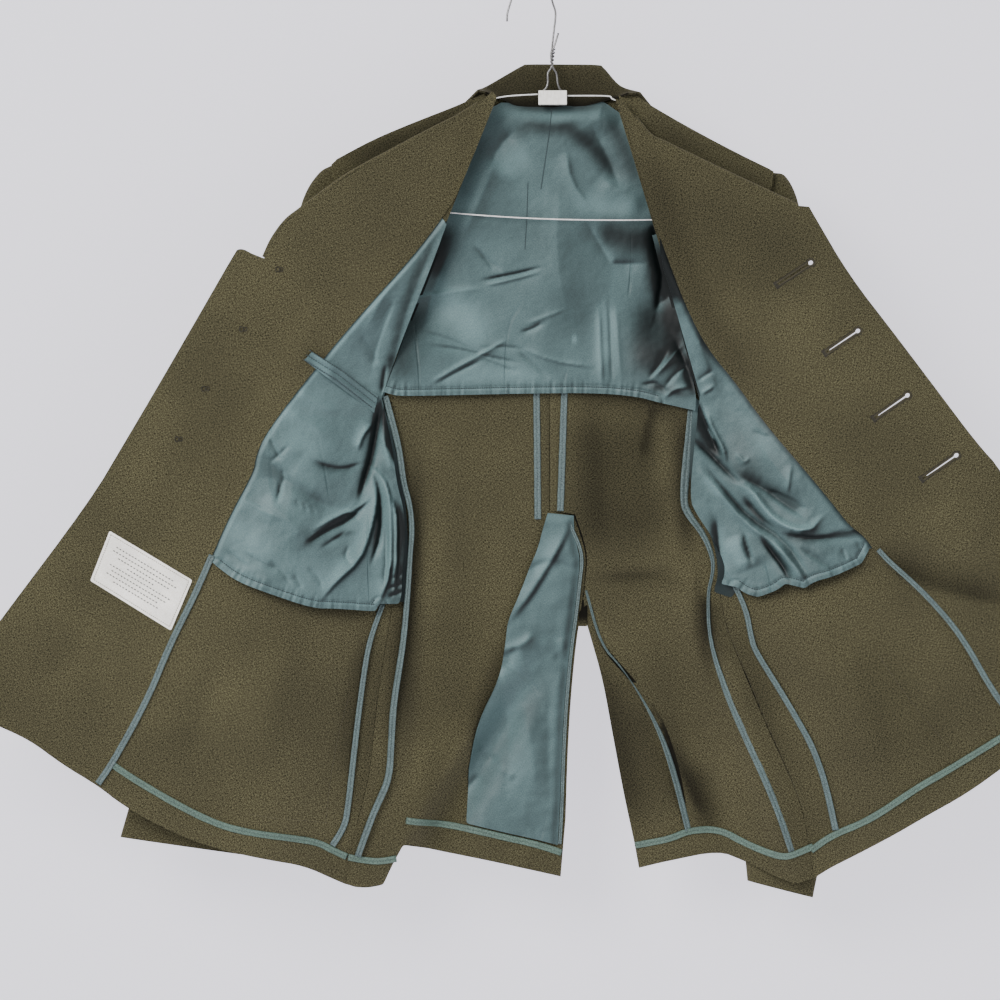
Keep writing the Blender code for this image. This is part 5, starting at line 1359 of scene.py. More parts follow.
# %% Vent cover
VENT_COVER = [
    (14.4, -514.6), (39.6, -517.2), (39.4, -527.0), (42.2, -545.3), (45.7, -559.7),
    (43.8, -577.9), (40.3, -611.5), (35.5, -643.2), (30.7, -695.0), (27.8, -746.9),
    (25.9, -801.6), (24.0, -835.2), (6.7, -830.4), (-31.7, -821.8), (-64.3, -814.1),
    (-61.4, -762.2), (-52.8, -716.2), (-31.7, -673.9), (-25.9, -636.5), (-24.5, -619.2),
    (-12.5, -592.3), (-2.9, -566.4), (4.8, -549.1), (9.6, -529.9),
]
VENT_CREASES = [
    ([(36, -525), (27, -546), (12, -571), (-2, -594), (-22, -619)], 1.2, 9, 3.6),
    ([(-4, -569), (7, -564), (18, -560)], 2.5, 5, -2),
    ([(19, -561), (32, -565), (45, -572)], 2.5, 5, -1.6),
    ([(-27, -646), (-10, -641), (1, -631)], 3, 6, 3),
    ([(-32, -658), (-20, -648), (-12, -646)], 4, 6, -2.6),
    ([(-37, -675), (-30, -663), (-20, -652)], 7, 5, -2.6),
    ([(21, -651), (29, -658), (36, -661)], 2.5, 4, -1.8),
    ([(26, -636), (32, -646)], 2.5, 3, 1.4),
    ([(-52, -740), (-44, -748), (-36, -756)], 2.5, 4, -1.8),
    ([(-33, -759), (-25, -765), (-17, -770)], 2.5, 4, 1.6),
    ([(-66, -782), (-60, -776), (-51, -768)], 2.5, 4, -1.8),
    ([(-12, -684), (-3, -732), (3, -790)], 16, 20, 2.2),
    ([(-27, -694), (-22, -737), (-27, -790)], 12, 12, -1.8),
    ([(18, -675), (14, -732), (18, -800)], 9, 9, -1.6),
]


def vent_lift(x, z):
    edge = smooth(off_line(x, z, VENT_COVER[:12]) / 8.0)
    lift = 2.2 + creased(x, z, VENT_CREASES, 1.2) + 1.2 * uneven(x, z * 0.7, 38.0, 41.0)
    lift += 0.5 * uneven(x, z, 14.0, 42.0) + 0.22 * uneven(x, z, 5.0, 43.0)
    return np.maximum(GAP + LINING, GAP + LINING + edge * lift)


outline = softened(VENT_COVER[:2]) + softened(VENT_COVER[1:12])[1:] + softened(VENT_COVER[11:16])[1:]
outline += softened(VENT_COVER[15:] + VENT_COVER[:1])[1:-1]
cloth("vent_cover_satin", outline, back, vent_lift, LINING, "lining", ["vent_cover"], step=2.4, grain=-8.0)

# %% [markdown]
# ## Pocket strap and label
# The mouth of the inside pocket is a strap of satin, folded double and stitched along
# its middle, so it shows as two raised bands with a groove between. The label is stiff
# cotton with rounded corners, sewn down all round, so it is lowest at its stitches.

# %% Pocket strap and label
POCKET_STRAP = [(-211.3, -360.4), (-218.7, -368.6), (-152.6, -418.3), (-148.8, -401.8)]
LABEL = [(-404.6, -531.6), (-325.7, -578.7), (-346.1, -626.8), (-423.1, -579.1)]
strap_middle = [(-216.0, -363.8), (-185.3, -383.0), (-150.7, -409.9)]


def strap_lift(x, z):
    gap = off_line(x, z, strap_middle)
    bands = np.exp(-((gap - 3.2) / 2.4) ** 2) * 1.5 - 0.9 * np.exp(-(gap / 0.9) ** 2)
    waves = 0.5 * uneven(x, z, 12.0, 51.0)
    return GAP + FACING + GAP + 5.4 * smooth((x + 212.0) / 20.0) + 1.0 + bands + waves


cloth("pocket_strap_satin", POCKET_STRAP, right_front, strap_lift, 1.0, "lining", ["pocket_strap"],
      step=1.2, grain=35.0)


def inset(outline, distance):
    """A closed outline moved in towards its middle by the same distance on every side."""
    mid_x = sum(p[0] for p in outline) / len(outline)
    mid_z = sum(p[1] for p in outline) / len(outline)
    lines = []
    for (x0, z0), (x1, z1) in zip(outline, outline[1:] + outline[:1]):
        nx, nz = z1 - z0, x0 - x1
        length = math.hypot(nx, nz) * (1.0 if nx * (mid_x - x0) + nz * (mid_z - z0) > 0.0 else -1.0)
        nx, nz = nx / length, nz / length
        lines.append((nx, nz, nx * x0 + nz * z0 + distance))
    places = []
    for (a, b, c), (d, e, f) in zip(lines[-1:] + lines[:-1], lines):
        places.append(((c * e - b * f) / (a * e - b * d), (a * f - c * d) / (a * e - b * d)))
    return places


def rounded(outline, radius, steps=4):
    """A closed outline with round corners."""
    places = []
    for before, here, after in zip(outline[-1:] + outline[:-1], outline, outline[1:] + outline[:1]):
        here = Vector(here)
        start = here + (Vector(before) - here).normalized() * radius
        end = here + (Vector(after) - here).normalized() * radius
        for step in range(steps + 1):
            t = step / steps
            places.append(tuple(start * (1 - t) ** 2 + here * 2 * t * (1 - t) + end * t ** 2))
    return places


label_seam = inset(LABEL, 2.6)


def label_lift(x, z):
    gap = off_line(x, z, label_seam + label_seam[:1])
    return GAP + FACING + GAP + 1.1 - 0.5 * np.exp(-(gap / 1.6) ** 2) + 0.3 * uneven(x, z, 18.0, 61.0)


cloth("label_cotton", rounded(LABEL, 1.6), right_front, label_lift, 0.7, "label", ["label"],
      step=2.0, grain=-30.0)

# %% [markdown]
# ## Bound seams
# The seam allowances of a half-lined tunic are bound with satin tape, so that they
# don't fray. A tape is folded over the raw edge, so it has a round back and is stitched
# down near one side. Each is swept: one cross-section is drawn, and its edges are
# extruded from place to place along the seam. The side seams stand up a little from
# the cloth, which is why a shadow follows them; painted shade beside the side tapes,
# on the back and on the fronts, deepens it.

# %% Sweeping a section along a line
def walked(path, pitch):
    """Places at an even pitch along a path, each with its direction."""
    places, left = [], 0.0
    for (x0, z0), (x1, z1) in zip(path, path[1:]):
        length = math.hypot(x1 - x0, z1 - z0)
        while left <= length:
            t = left / length
            places.append((mix(x0, x1, t), mix(z0, z1, t), math.atan2(z1 - z0, x1 - x0)))
            left += pitch
        left -= length
    return places


def swept(rows, closed):
    """Extrudes the first row of places to each of the next ones."""
    bm = bmesh.new()
    layer = bm.loops.layers.uv.new("grain")
    ring = [bm.verts.new(place) for place in rows[0]]
    pairs = list(zip(ring, ring[1:])) + ([(ring[-1], ring[0])] if closed else [])
    edges = [bm.edges.new(pair) for pair in pairs]
    first = list(ring)
    for row in rows[1:]:
        made = bmesh.ops.extrude_edge_only(bm, edges=edges)["geom"]
        new = {v for v in made if isinstance(v, bmesh.types.BMVert)}
        following = [next(e.other_vert(v) for e in v.link_edges if e.other_vert(v) in new) for v in ring]
        for vertex, place in zip(following, row):
            vertex.co = place
        edges = [bm.edges.get(pair) for pair in
                 list(zip(following, following[1:])) + ([(following[-1], following[0])] if closed else [])]
        ring = following
    if closed:
        bm.faces.new(first)
        bm.faces.new(ring)
    bmesh.ops.recalc_face_normals(bm, faces=bm.faces)
    net = np.array([[tuple(place) for place in row] for row in rows])
    across = np.cumsum(np.linalg.norm(np.diff(net, axis=1, prepend=net[:, :1]), axis=2), axis=1)
    along = np.cumsum(np.linalg.norm(np.diff(net, axis=0, prepend=net[:1]), axis=2).mean(axis=1))
    bm.verts.index_update()
    for face in bm.faces:
        for loop in face.loops:
            spot, turn = divmod(loop.vert.index, len(rows[0]))
            loop[layer].uv = (across[spot][turn] * MM, along[spot] * MM)
    return bm


RIGHT_FRONT_TAPE = [
    (-148.2, -612.5), (-156.9, -636.5), (-162.2, -666.2), (-169.0, -718.1), (-173.8, -761.3),
    (-177.6, -794.9), (-180.9, -816.0), (-189.1, -828.5),
]
RIGHT_BACK_TAPE = [
    (-141.1, -406.1), (-128.6, -451.2), (-124.8, -484.8), (-118.1, -507.8), (-116.2, -531.8),
    (-118.1, -553.9), (-119.5, -577.9), (-121.0, -598.1), (-124.2, -635.5), (-129.6, -670.1),
    (-134.4, -700.8), (-136.3, -735.4), (-138.2, -769.9), (-148.2, -792.0), (-155.5, -808.3),
    (-165.1, -835.2),
]
LEFT_FRONT_TAPE = [
    (196.8, -590.4), (204.5, -605.8), (210.2, -636.5), (214.1, -648.0), (237.1, -684.5),
    (256.3, -717.1), (268.8, -740.2), (280.3, -771.8), (289.0, -811.2),
]
LEFT_BACK_TAPE = [
    (151.7, -419.5), (148.8, -458.9), (145.0, -501.1), (147.8, -513.6), (165.1, -535.7),
    (173.8, -559.7), (172.8, -574.1), (168.0, -592.3), (169.4, -636.5), (185.3, -686.4),
    (204.5, -730.6), (223.7, -771.8), (237.1, -804.5), (245.8, -830.4),
]
CENTRE_TAPE_RIGHT = [(3.6, -404.2), (4.3, -463.7), (4.8, -521.3)]
CENTRE_TAPE_LEFT = [(30.2, -404.2), (28.3, -463.7), (26.6, -509.8)]
VENT_PIPING = [
    (38.8, -529.9), (45.7, -544.3), (49.0, -559.7), (46.7, -577.9), (43.2, -611.5),
    (38.4, -643.2), (33.6, -695.0), (30.7, -746.9), (28.8, -805.4), (26.9, -836.2),
]
VENT_EDGE_TAPE = [
    (54.7, -601.9), (65.3, -641.3), (86.4, -664.3), (106.6, -695.0), (124.8, -730.6),
    (137.3, -769.0), (147.8, -811.2),
]
HEM_TAPE_FRONT_RIGHT = [
    (-398.4, -757.4), (-386.3, -766.1), (-339.3, -793.9), (-306.2, -810.2), (-278.4, -818.9),
    (-219.8, -828.1), (-204.5, -832.0), (-194.3, -838.1), (-184.3, -842.9),
]
HEM_TAPE_SIDE_RIGHT = [(-172.8, -846.7), (-151.2, -850.6), (-139.2, -848.6)]
HEM_TAPE_BACK_RIGHT = [
    (-117.1, -811.2), (-69.1, -817.9), (-31.7, -826.6), (6.7, -835.2), (25.9, -841.9),
]
HEM_TAPE_FRONT_LEFT = [
    (275.5, -833.3), (287.0, -824.6), (321.6, -809.3), (362.9, -779.5), (393.6, -762.2),
    (448.3, -728.6), (457.0, -722.9),
]
HEM_TAPE_BACK_LEFT = [
    (102.7, -834.7), (131.5, -829.4), (150.2, -821.3), (179.5, -819.8), (204.0, -832.8),
    (223.7, -841.0), (238.1, -845.3), (247.7, -844.8), (261.1, -839.0),
]
SEWN_TAPES = []


def stretched(line, before, after):
    """The line made longer at both ends."""
    (ax, az), (bx, bz) = line[0], line[1]
    (cx, cz), (dx, dz) = line[-2], line[-1]
    first, last = before / math.dist(line[0], line[1]), after / math.dist(line[-2], line[-1])
    return ([(ax + (ax - bx) * first, az + (az - bz) * first)] + line[1:-1]
            + [(dx + (dx - cx) * last, dz + (dz - cz) * last)])


def tape(node, line, surface, base, width, rise, tilt, material, before, after, slim):
    """A bound edge. rise is its thickness; tilt lifts one edge more than the other;
    slim is how wide it looks along its length, less where it stands on edge."""
    line = softened(stretched(line, before, after))
    rows = []
    places = walked(line, 2.6)
    for i, (x, z, angle) in enumerate(places):
        nx, nz = -math.sin(angle), math.cos(angle)
        wave = noise.noise(Vector((i * 0.23, width, 71.0)))
        fine = noise.noise(Vector((i * 0.9, width, 75.0)))
        slimness = float(np.interp(i / len(places), np.linspace(0.0, 1.0, len(slim)), slim))
        wide = width * (1.0 + 0.05 * wave) * slimness
        top = rise * (1.0 + 0.25 * wave + 0.08 * fine)
        row = []
        for across, high in ((-0.40, 0.0), (-0.50, 0.50), (-0.48, 0.85), (-0.38, 1.0), (-0.12, 0.96),
                             (-0.02, 0.66),
                             (0.08, 0.96), (0.36, 1.0), (0.47, 0.85), (0.50, 0.50), (0.40, 0.0)):
            px, pz = x + nx * across * wide, z + nz * across * wide
            leaning = tilt * (across + 0.5) if high > 0.1 else 0.0
            row.append((px, pz, base + top * high + leaning))
        rows.append(row)
    flat = np.array(rows)
    depth = surface(flat[:, :, 0].ravel(), flat[:, :, 1].ravel()).reshape(flat.shape[:2])
    rows = [[(p[0], d - p[2], p[1]) for p, d in zip(row, deep)] for row, deep in zip(rows, depth)]
    finished(node + "_bound", swept(rows, True), material, [node])
    SEWN_TAPES.append((line, surface, base + rise * 0.80 + tilt * 0.5, -width * 0.02))


# %% [markdown]
# Most tapes lie flat. The two at the back side seams stand up, because the seam
# allowance under them is pushed forward by the turn of the cloth.

# %% The tapes
right_facing = [p for p in RIGHT_FACING_EDGE if p[1] < -553.0]
left_facing = [p for p in LEFT_FACING_EDGE if p[1] < -553.0]
EVEN = (1.0, 1.0)
# node, line, surface, width, rise, tilt, longer at the start and at the end, slimness along it
TAPES = [
    ("side_tape_front_right", RIGHT_FRONT_TAPE, right_front, 6.0, 1.5, 1.0, 11.0, 8.0, (0.8, 1.0)),
    ("side_tape_back_right", RIGHT_BACK_TAPE, back, 6.4, 2.8, 3.0, 4.0, 12.0, (1.0, 0.75, 1.0, 1.0)),
    ("side_tape_front_left", LEFT_FRONT_TAPE, left_front, 6.0, 1.5, 1.0, 13.0, 9.0, (0.8, 1.0)),
    ("side_tape_back_left", LEFT_BACK_TAPE, back, 6.6, 2.8, -3.0, 4.0, 11.0,
     (0.9, 1.35, 1.0, 0.5, 0.5, 0.9, 1.0, 1.0, 1.0)),
    ("centre_tape_right", CENTRE_TAPE_RIGHT, back, 6.4, 1.3, 0.0, 11.0, 0.0, EVEN),
    ("centre_tape_left", CENTRE_TAPE_LEFT, back, 6.4, 1.3, 0.0, 11.0, 3.4, EVEN),
    ("facing_tape_right", shifted(right_facing, -0.4), right_front, 6.0, 1.4, 0.0, 4.0, 0.0, EVEN),
    ("facing_tape_left", shifted(left_facing, 3.6), left_front, 6.0, 1.4, 0.0, 4.0, 0.0, (0.8, 1.0)),
    ("vent_piping", shifted(VENT_PIPING, -1.0), back, 3.2, 1.9, 0.0, 8.0, 0.0, EVEN),
    ("vent_edge_tape", VENT_EDGE_TAPE, back, 6.0, 2.2, -2.0, 13.0, 12.0,
     (0.4, 0.45, 0.35, 0.15, 0.4, 0.8, 1.0, 1.0, 1.0)),
    ("hem_tape_front_right", HEM_TAPE_FRONT_RIGHT, right_front, 6.4, 1.4, 0.0, 8.0, 7.0, EVEN),
    ("hem_tape_side_right", HEM_TAPE_SIDE_RIGHT, back, 6.4, 1.4, 0.0, 5.0, 8.0, EVEN),
    ("hem_tape_back_right", HEM_TAPE_BACK_RIGHT, back, 6.4, 1.4, 0.0, 5.0, 2.0, EVEN),
    ("hem_tape_front_left", HEM_TAPE_FRONT_LEFT, left_front, 6.4, 1.4, 0.0, 10.0, 0.0, EVEN),
    ("hem_tape_back_left", HEM_TAPE_BACK_LEFT, back, 6.4, 1.4, 0.0, 4.0, 11.0, EVEN),
]
for node, line, surface, width, rise, tilt, before, after, slim in TAPES:
    base = 1.2 if node.startswith("facing") else 0.2
    material = "hem_tape" if node.startswith("hem") else "tape"
    tape(node, line, surface, base, width, rise, tilt, material, before, after, slim)
print("tapes:", len(TAPES))

# %% [markdown]
# ## Lapels and collar
# At the roll line each front turns over into its lapel, which lies folded behind it.
# The lapel and the collar are swept too, but their section changes on the way, so each
# row of places is worked out from a short table: where the fold is and how far the
# leaf reaches. Between the rows of the table the places are joined by smooth curves.

# %% Curves through places, and open sweeps
def curved(points, count):
    """This many places on a smooth curve through the points, evenly in the points' order."""
    points = [Vector(p) for p in points]
    places = []
    for step in range(count):
        at = step / (count - 1) * (len(points) - 1)
        i = min(int(at), len(points) - 2)
        t = at - i
        a, b = points[i], points[i + 1]
        before = points[i - 1] if i > 0 else a * 2 - b
        after = points[i + 2] if i + 2 < len(points) else b * 2 - a
        places.append(0.5 * (2 * a + (b - before) * t + (2 * before - 5 * a + 4 * b - after) * t ** 2
                             + (3 * a - before - 3 * b + after) * t ** 3))
    return places


def surfaced(rows, along, across):
    """A finer net of places through a coarse one, smooth both ways."""
    wide = [curved(row, across) for row in rows]
    columns = [curved([row[i] for row in wide], along) for i in range(across)]
    return [[column[i] for column in columns] for i in range(along)]


def facing_out(bm, outward):
    """Turns the faces of an open sheet over if most look the wrong way."""
    bm.normal_update()
    if sum(face.normal.dot(outward(face)) for face in bm.faces) < 0.0:
        bmesh.ops.reverse_faces(bm, faces=bm.faces[:])


# %% Lapels
RIGHT_LAPEL = [((-53.8, -119.0), 4.0), ((-74.9, -132.5), 14.0), ((-98.9, -145.0), 34.0),
               ((-139.2, -167.0), 66.0), ((-180.5, -190.1), 62.0), ((-223.7, -221.8), 42.0),
               ((-239.0, -234.2), 32.0), ((-251.5, -251.5), 16.0), ((-259.7, -268.8), 5.0)]
LEFT_LAPEL = [((99.8, -132.5), 4.0), ((114.2, -150.2), 12.0), ((129.6, -158.4), 26.0),
              ((160.3, -173.8), 60.0), ((197.8, -192.0), 64.0), ((227.5, -205.9), 42.0),
              ((253.4, -217.9), 8.0)]

def lapel(side, table, surface, inward):
    places = [p for p, width in table]
    ahead = shifted(places, inward)
    rows = []
    for (x, z), (ax, az), (place, width) in zip(places, ahead, table):
        nx, nz = ax - x, az - z
        section = [(3.4, -1.9), (1.9, -1.5), (0.9, -0.3), (0.7, 1.2), (1.2, 3.0), (2.6, 4.5),
                   (4.5 + width * 0.25, 5.0), (3.0 + width * 0.6, 5.2), (3.0 + width, 5.4)]
        row = []
        for across, behind in section:
            px, pz = x + nx * across, z + nz * across
            row.append((px, depth_at(surface, px, pz) + behind, pz))
        rows.append(row)
    net = surfaced(rows, 64, 36)
    bm = swept(net, False)
    facing_out(bm, lambda face: Vector((0.0, -1.0, 0.0)) if face.calc_center_median().y < -40.0
               else Vector((0.0, 1.0, 0.0)))
    piece = finished(f"lapel_{side}_wool", bm, "wool", [f"lapel_{side}"], 1.5)
    print("lapel", side, "faces", len(piece.data.polygons))
    return piece


lapel("right", RIGHT_LAPEL, right_front, 1.0)
lapel("left", LEFT_LAPEL, left_front, -1.0)

# %% Collar
# foot, top and leaf of the collar along the neck, each as X, Z and depth
COLLAR = [
    ((-44.2, -109.9, -9.0), (-53.8, -107.5, -6.0), (-76.8, -128.6, 18.0)),
    ((-31.7, -114.2, 5.0), (-45.2, -103.2, 7.0), (-67.2, -134.4, 21.0)),
    ((-18.0, -121.0, 9.6), (-25.0, -91.4, 9.2), (-44.0, -135.4, 22.5)),
    ((-10.0, -122.2, 10.4), (-10.5, -83.2, 10.2), (-26.0, -136.0, 23.2)),
    ((-4.0, -122.6, 10.8), (-4.0, -81.6, 10.8), (-14.0, -136.2, 23.4)),
    ((30.0, -123.0, 11.4), (30.0, -81.6, 11.0), (30.0, -136.4, 23.6)),
    ((46.0, -122.0, 10.6), (62.0, -82.2, 10.6), (66.0, -135.8, 23.3)),
    ((52.0, -121.4, 10.0), (69.0, -85.6, 10.0), (78.0, -135.4, 22.9)),
    ((75.8, -115.2, 5.0), (84.5, -102.4, 7.0), (114.2, -135.4, 21.0)),
    ((90.2, -110.9, -9.0), (103.7, -109.9, -6.0), (129.6, -139.2, 18.0)),
]
rows = []
for base, top, leaf in COLLAR:
    (bx, bz, by), (tx, tz, ty), (lx, lz, ly) = base, top, leaf
    rows.append([(bx, by, bz), (mix(bx, tx, 0.35), mix(by, ty, 0.3) - 0.4, mix(bz, tz, 0.35)),
                 (mix(bx, tx, 0.7), mix(by, ty, 0.6) - 0.3, mix(bz, tz, 0.7)),
                 (mix(bx, tx, 0.95), ty - 0.5, mix(bz, tz, 0.95)), (tx, ty + 2.5, tz),
                 (mix(tx, lx, 0.06), ty + 5.6, mix(tz, lz, 0.06)),
                 (mix(tx, lx, 0.3), mix(ty + 6.0, ly, 0.3), mix(tz, lz, 0.3)),
                 (mix(tx, lx, 0.65), mix(ty + 6.0, ly, 0.65), mix(tz, lz, 0.65)), (lx, ly, lz)])
net = surfaced(rows, 96, 44)
for i, row in enumerate(net):
    for k, place in enumerate(row):
        place.y += 0.5 * noise.noise(Vector((place.x / 24.0, place.z / 14.0, 81.0 + (k > 22))))
bm = swept(net, False)
# Painted shade on the inner side of the collar band, darkest at its foot, kept in the turned attribute.
painted_inner_shade = bm.verts.layers.float.new("turned")
for index, vertex in enumerate(bm.verts):
    across = index % 44 / 44.0
    vertex[painted_inner_shade] = float(np.interp(across, (0.0, 0.08, 0.26, 0.40, 0.5),
                                         (-0.85, -0.45, -0.36, -0.22, 0.0)))
facing_out(bm, lambda face: Vector((0.0, -1.0, 0.0)) if face.calc_center_median().y < 12.0
           else Vector((0.0, 1.0, 0.0)))
collar = finished("collar_wool", bm, "wool", ["collar"], 1.8)
print("collar faces", len(collar.data.polygons))

# %% [markdown]
# ## Sleeves
# A sleeve is two pieces: a wide topsleeve and a narrower undersleeve, sewn together by
# two seams along the arm. It hangs flat behind its front, as a squared tube, open at
# the armhole and at the cuff. Its cloth carries the pulls of an arm that bent it: soft
# diagonal folds at the elbow and shallow ones above the cuff.

# %% Sleeves
SLEEVE_SEAMS = (35.0, 145.0)    # where the two seams are round a ring, in degrees
SLEEVE_SQUARE = 0.5              # 1 for an oval ring, less for a squarer one
SLEEVE_GAP = 0.3                 # half of the gap at a seam
RIGHT_SLEEVE = [
    ((-192.0, -178.6), (-155.5, -392.6), 8.5, 5.0),
    ((-206.4, -187.2), (-160.3, -402.2), 10.0, 5.5),
    ((-220.8, -210.2), (-168.0, -417.6), 11.0, 6.0),
    ((-232.3, -252.5), (-176.6, -444.5), 11.0, 6.0),
    ((-250.6, -319.7), (-185.3, -492.5), 11.0, 6.0),
    ((-281.3, -425.3), (-197.8, -559.7), 11.0, 6.0),
    ((-314.9, -540.5), (-213.1, -641.3), 10.5, 6.0),
    ((-353.3, -674.9), (-233.3, -744.0), 10.0, 5.0),
    ((-377.3, -756.5), (-245.8, -795.8), 9.5, 4.0),
    ((-397.4, -826.6), (-255.4, -846.7), 9.0, 3.0),
]
LEFT_SLEEVE = [
    ((231.4, -186.4), (169.9, -392.6), 8.5, 5.0),
    ((243.8, -190.4), (175.7, -404.2), 10.0, 6.0),
    ((255.4, -214.1), (181.4, -419.5), 11.0, 7.0),
    ((264.0, -262.1), (187.2, -454.1), 11.0, 8.0),
    ((275.5, -348.5), (192.0, -521.3), 11.0, 10.0),
    ((287.0, -454.1), (196.8, -598.1), 11.0, 13.0),
    ((292.8, -569.3), (200.6, -684.5), 10.5, 17.0),
    ((292.8, -694.1), (203.5, -770.9), 10.0, 20.0),
    ((287.0, -799.7), (204.5, -833.3), 10.0, 21.0),
    ((270.7, -886.1), (207.4, -869.8), 10.0, 20.0),
]

def sleeve_place(row, angle):
    (ox, oz), (ix, iz), half_depth, middle = row
    across = math.cos(math.radians(angle))
    lift = math.sin(math.radians(angle))
    lift = math.copysign(abs(lift) ** SLEEVE_SQUARE, lift)
    t = (across + 1.0) / 2.0
    return Vector((mix(ox, ix, t), middle + half_depth * lift, mix(oz, iz, t)))


def sleeve_wall(name, node, table, first, last, across, seed):
    net = []
    for row in table:
        places = [sleeve_place(row, mix(first, last, k / across)) for k in range(across + 1)]
        places[0] += (places[1] - places[0]).normalized() * SLEEVE_GAP
        places[-1] += (places[-2] - places[-1]).normalized() * SLEEVE_GAP
        net.append(places)
    columns = [curved([row[k] for row in net], 110) for k in range(across + 1)]
    middle = curved([sleeve_place(row, 90.0) * 0.5 + sleeve_place(row, 270.0) * 0.5 for row in table], 110)
    rows = []
    for i in range(110):
        row = []
        for k in range(across + 1):
            place = columns[k][i]
            inward = 1.0 if place.y > middle[i].y else -1.0
            fold = noise.noise(Vector((place.x / 60.0 + place.z / 90.0, place.z / 34.0, seed)))
            fine = noise.noise(Vector((place.x / 22.0, place.z / 18.0, seed + 5.0)))
            elbow = math.exp(-((i - 58.0) / 16.0) ** 2)
            depth = (1.2 + 1.4 * elbow) * fold + 0.5 * fine
            row.append(place - Vector((0.0, inward * (abs(depth) if abs(depth) < 3.0 else 3.0), 0.0)))
        rows.append(row)
    bm = swept(rows, False)
    facing_out(bm, lambda face: Vector((0.0, 1.0, 0.0)) if first < 90.0 else Vector((0.0, -1.0, 0.0)))
    piece = finished(name, bm, "wool", [node], SHELL)
    print(name, "faces", len(piece.data.polygons))
    return piece


low, high = SLEEVE_SEAMS
for side, table, seed in (("right", RIGHT_SLEEVE, 91.0), ("left", LEFT_SLEEVE, 95.0)):
    sleeve_wall(f"undersleeve_{side}_wool", f"undersleeve_{side}", table, low, high, 26, seed)
    sleeve_wall(f"topsleeve_{side}_wool", f"topsleeve_{side}", table, high, low + 360.0, 64, seed + 2.0)

# %% [markdown]
# ## Patch pockets on the outside
# Each skirt has a patch pocket with a flap. They are on the outside, so they show from
# behind. A pocket lies against the front from its other side, and its flap over it.

# %% Pockets and flaps
POCKETS = [
    ("right", "right front",
     [(-298.6, -641.3), (-174.7, -659.5), (-188.2, -731.5), (-198.7, -811.2), (-251.5, -805.4),
      (-314.9, -787.2)],
     [(-304.3, -626.9), (-169.0, -648.0), (-175.7, -690.2), (-238.1, -694.1), (-310.1, -671.0)]),
    ("left", "left front",
     [(232.3, -650.9), (321.6, -628.8), (397.4, -738.2), (300.5, -795.8)],
     [(226.6, -636.5), (326.4, -611.5), (351.4, -646.1), (301.4, -680.6), (243.8, -682.6)]),
]
surfaces = {"right front": right_front, "left front": left_front}
for side, surface, pocket, flap in POCKETS:
    cloth(f"pocket_{side}_wool", rounded(pocket, 6.0), surfaces[surface],
          lambda x, z: -(SHELL + GAP) + 0.1 * uneven(x, z, 20.0, 101.0), SHELL, "wool", [f"pocket_{side}"])
    cloth(f"flap_{side}_wool", rounded(flap, 6.0), surfaces[surface],
          lambda x, z: -(2.0 * SHELL + 2.0 * GAP) + 0.1 * uneven(x, z, 20.0, 103.0), SHELL, "wool",
          [f"flap_{side}"])

# %% [markdown]
# ## Buttons
# The buttons are stamped brass: a domed face with a rolled rim, on a plain back. They
# are turned shapes, so half of the profile is drawn and spun round its axis. Their
# faces look away, because the fronts are seen from the inside.

# %% Buttons
BUTTONS = [(-242.6, -281.7), (-277.2, -338.9), (-313.3, -395.8), (-338.7, -443.9)]
FLAP_BUTTONS = [("right", (-240.0, -672.0)), ("left", (292.8, -659.5))]

def button(name, place, surface, behind, radius, height):
    x, z = place
    profile = [(0.0, 0.0), (0.20, 0.0), (0.35, 0.02), (0.36, 0.22), (0.5, 0.28), (0.9, 0.28), (0.98, 0.32),
               (1.0, 0.42), (0.98, 0.52), (0.93, 0.58), (0.88, 0.56), (0.85, 0.52), (0.80, 0.58),
               (0.66, 0.76), (0.46, 0.90), (0.24, 0.98), (0.0, 1.0)]
    bm = bmesh.new()
    chain = [bm.verts.new((r * radius, 0.0, h * height)) for r, h in profile]
    edges = [bm.edges.new(pair) for pair in zip(chain, chain[1:])]
    bmesh.ops.spin(bm, geom=chain + edges, cent=(0.0, 0.0, 0.0), axis=(0.0, 0.0, 1.0), dvec=(0.0, 0.0, 0.0),
                   angle=2.0 * math.pi, steps=40, use_merge=True)
    bmesh.ops.remove_doubles(bm, verts=bm.verts, dist=0.01)
    bmesh.ops.recalc_face_normals(bm, faces=bm.faces)
    turn = Matrix.Rotation(math.radians(-90.0), 4, "X")
    bmesh.ops.transform(bm, matrix=turn, verts=bm.verts)
    bmesh.ops.translate(bm, verts=bm.verts, vec=(x, depth_at(surface, x, z) + behind, z))
    return finished(name + "_brass", bm, "brass", [name])


for number, place in enumerate(BUTTONS, 1):
    button(f"button_{number}", place, right_front, SHELL + 0.6, 11.0, 4.5)
for side, place in FLAP_BUTTONS:
    button(f"flap_button_{side}", place, surfaces[side + " front"], 3.0 * SHELL + 2.0 * GAP + 1.1, 8.0, 3.6)
print("buttons:", len(BUTTONS) + len(FLAP_BUTTONS))

# %% [markdown]
# ## Hanger
# The hanger is one bent wire: its two ends are twisted together under the hook, and a
# small white clip holds the frame. A wire is a circle swept along its path, so each
# path is smoothed first, and the circle turns with it.

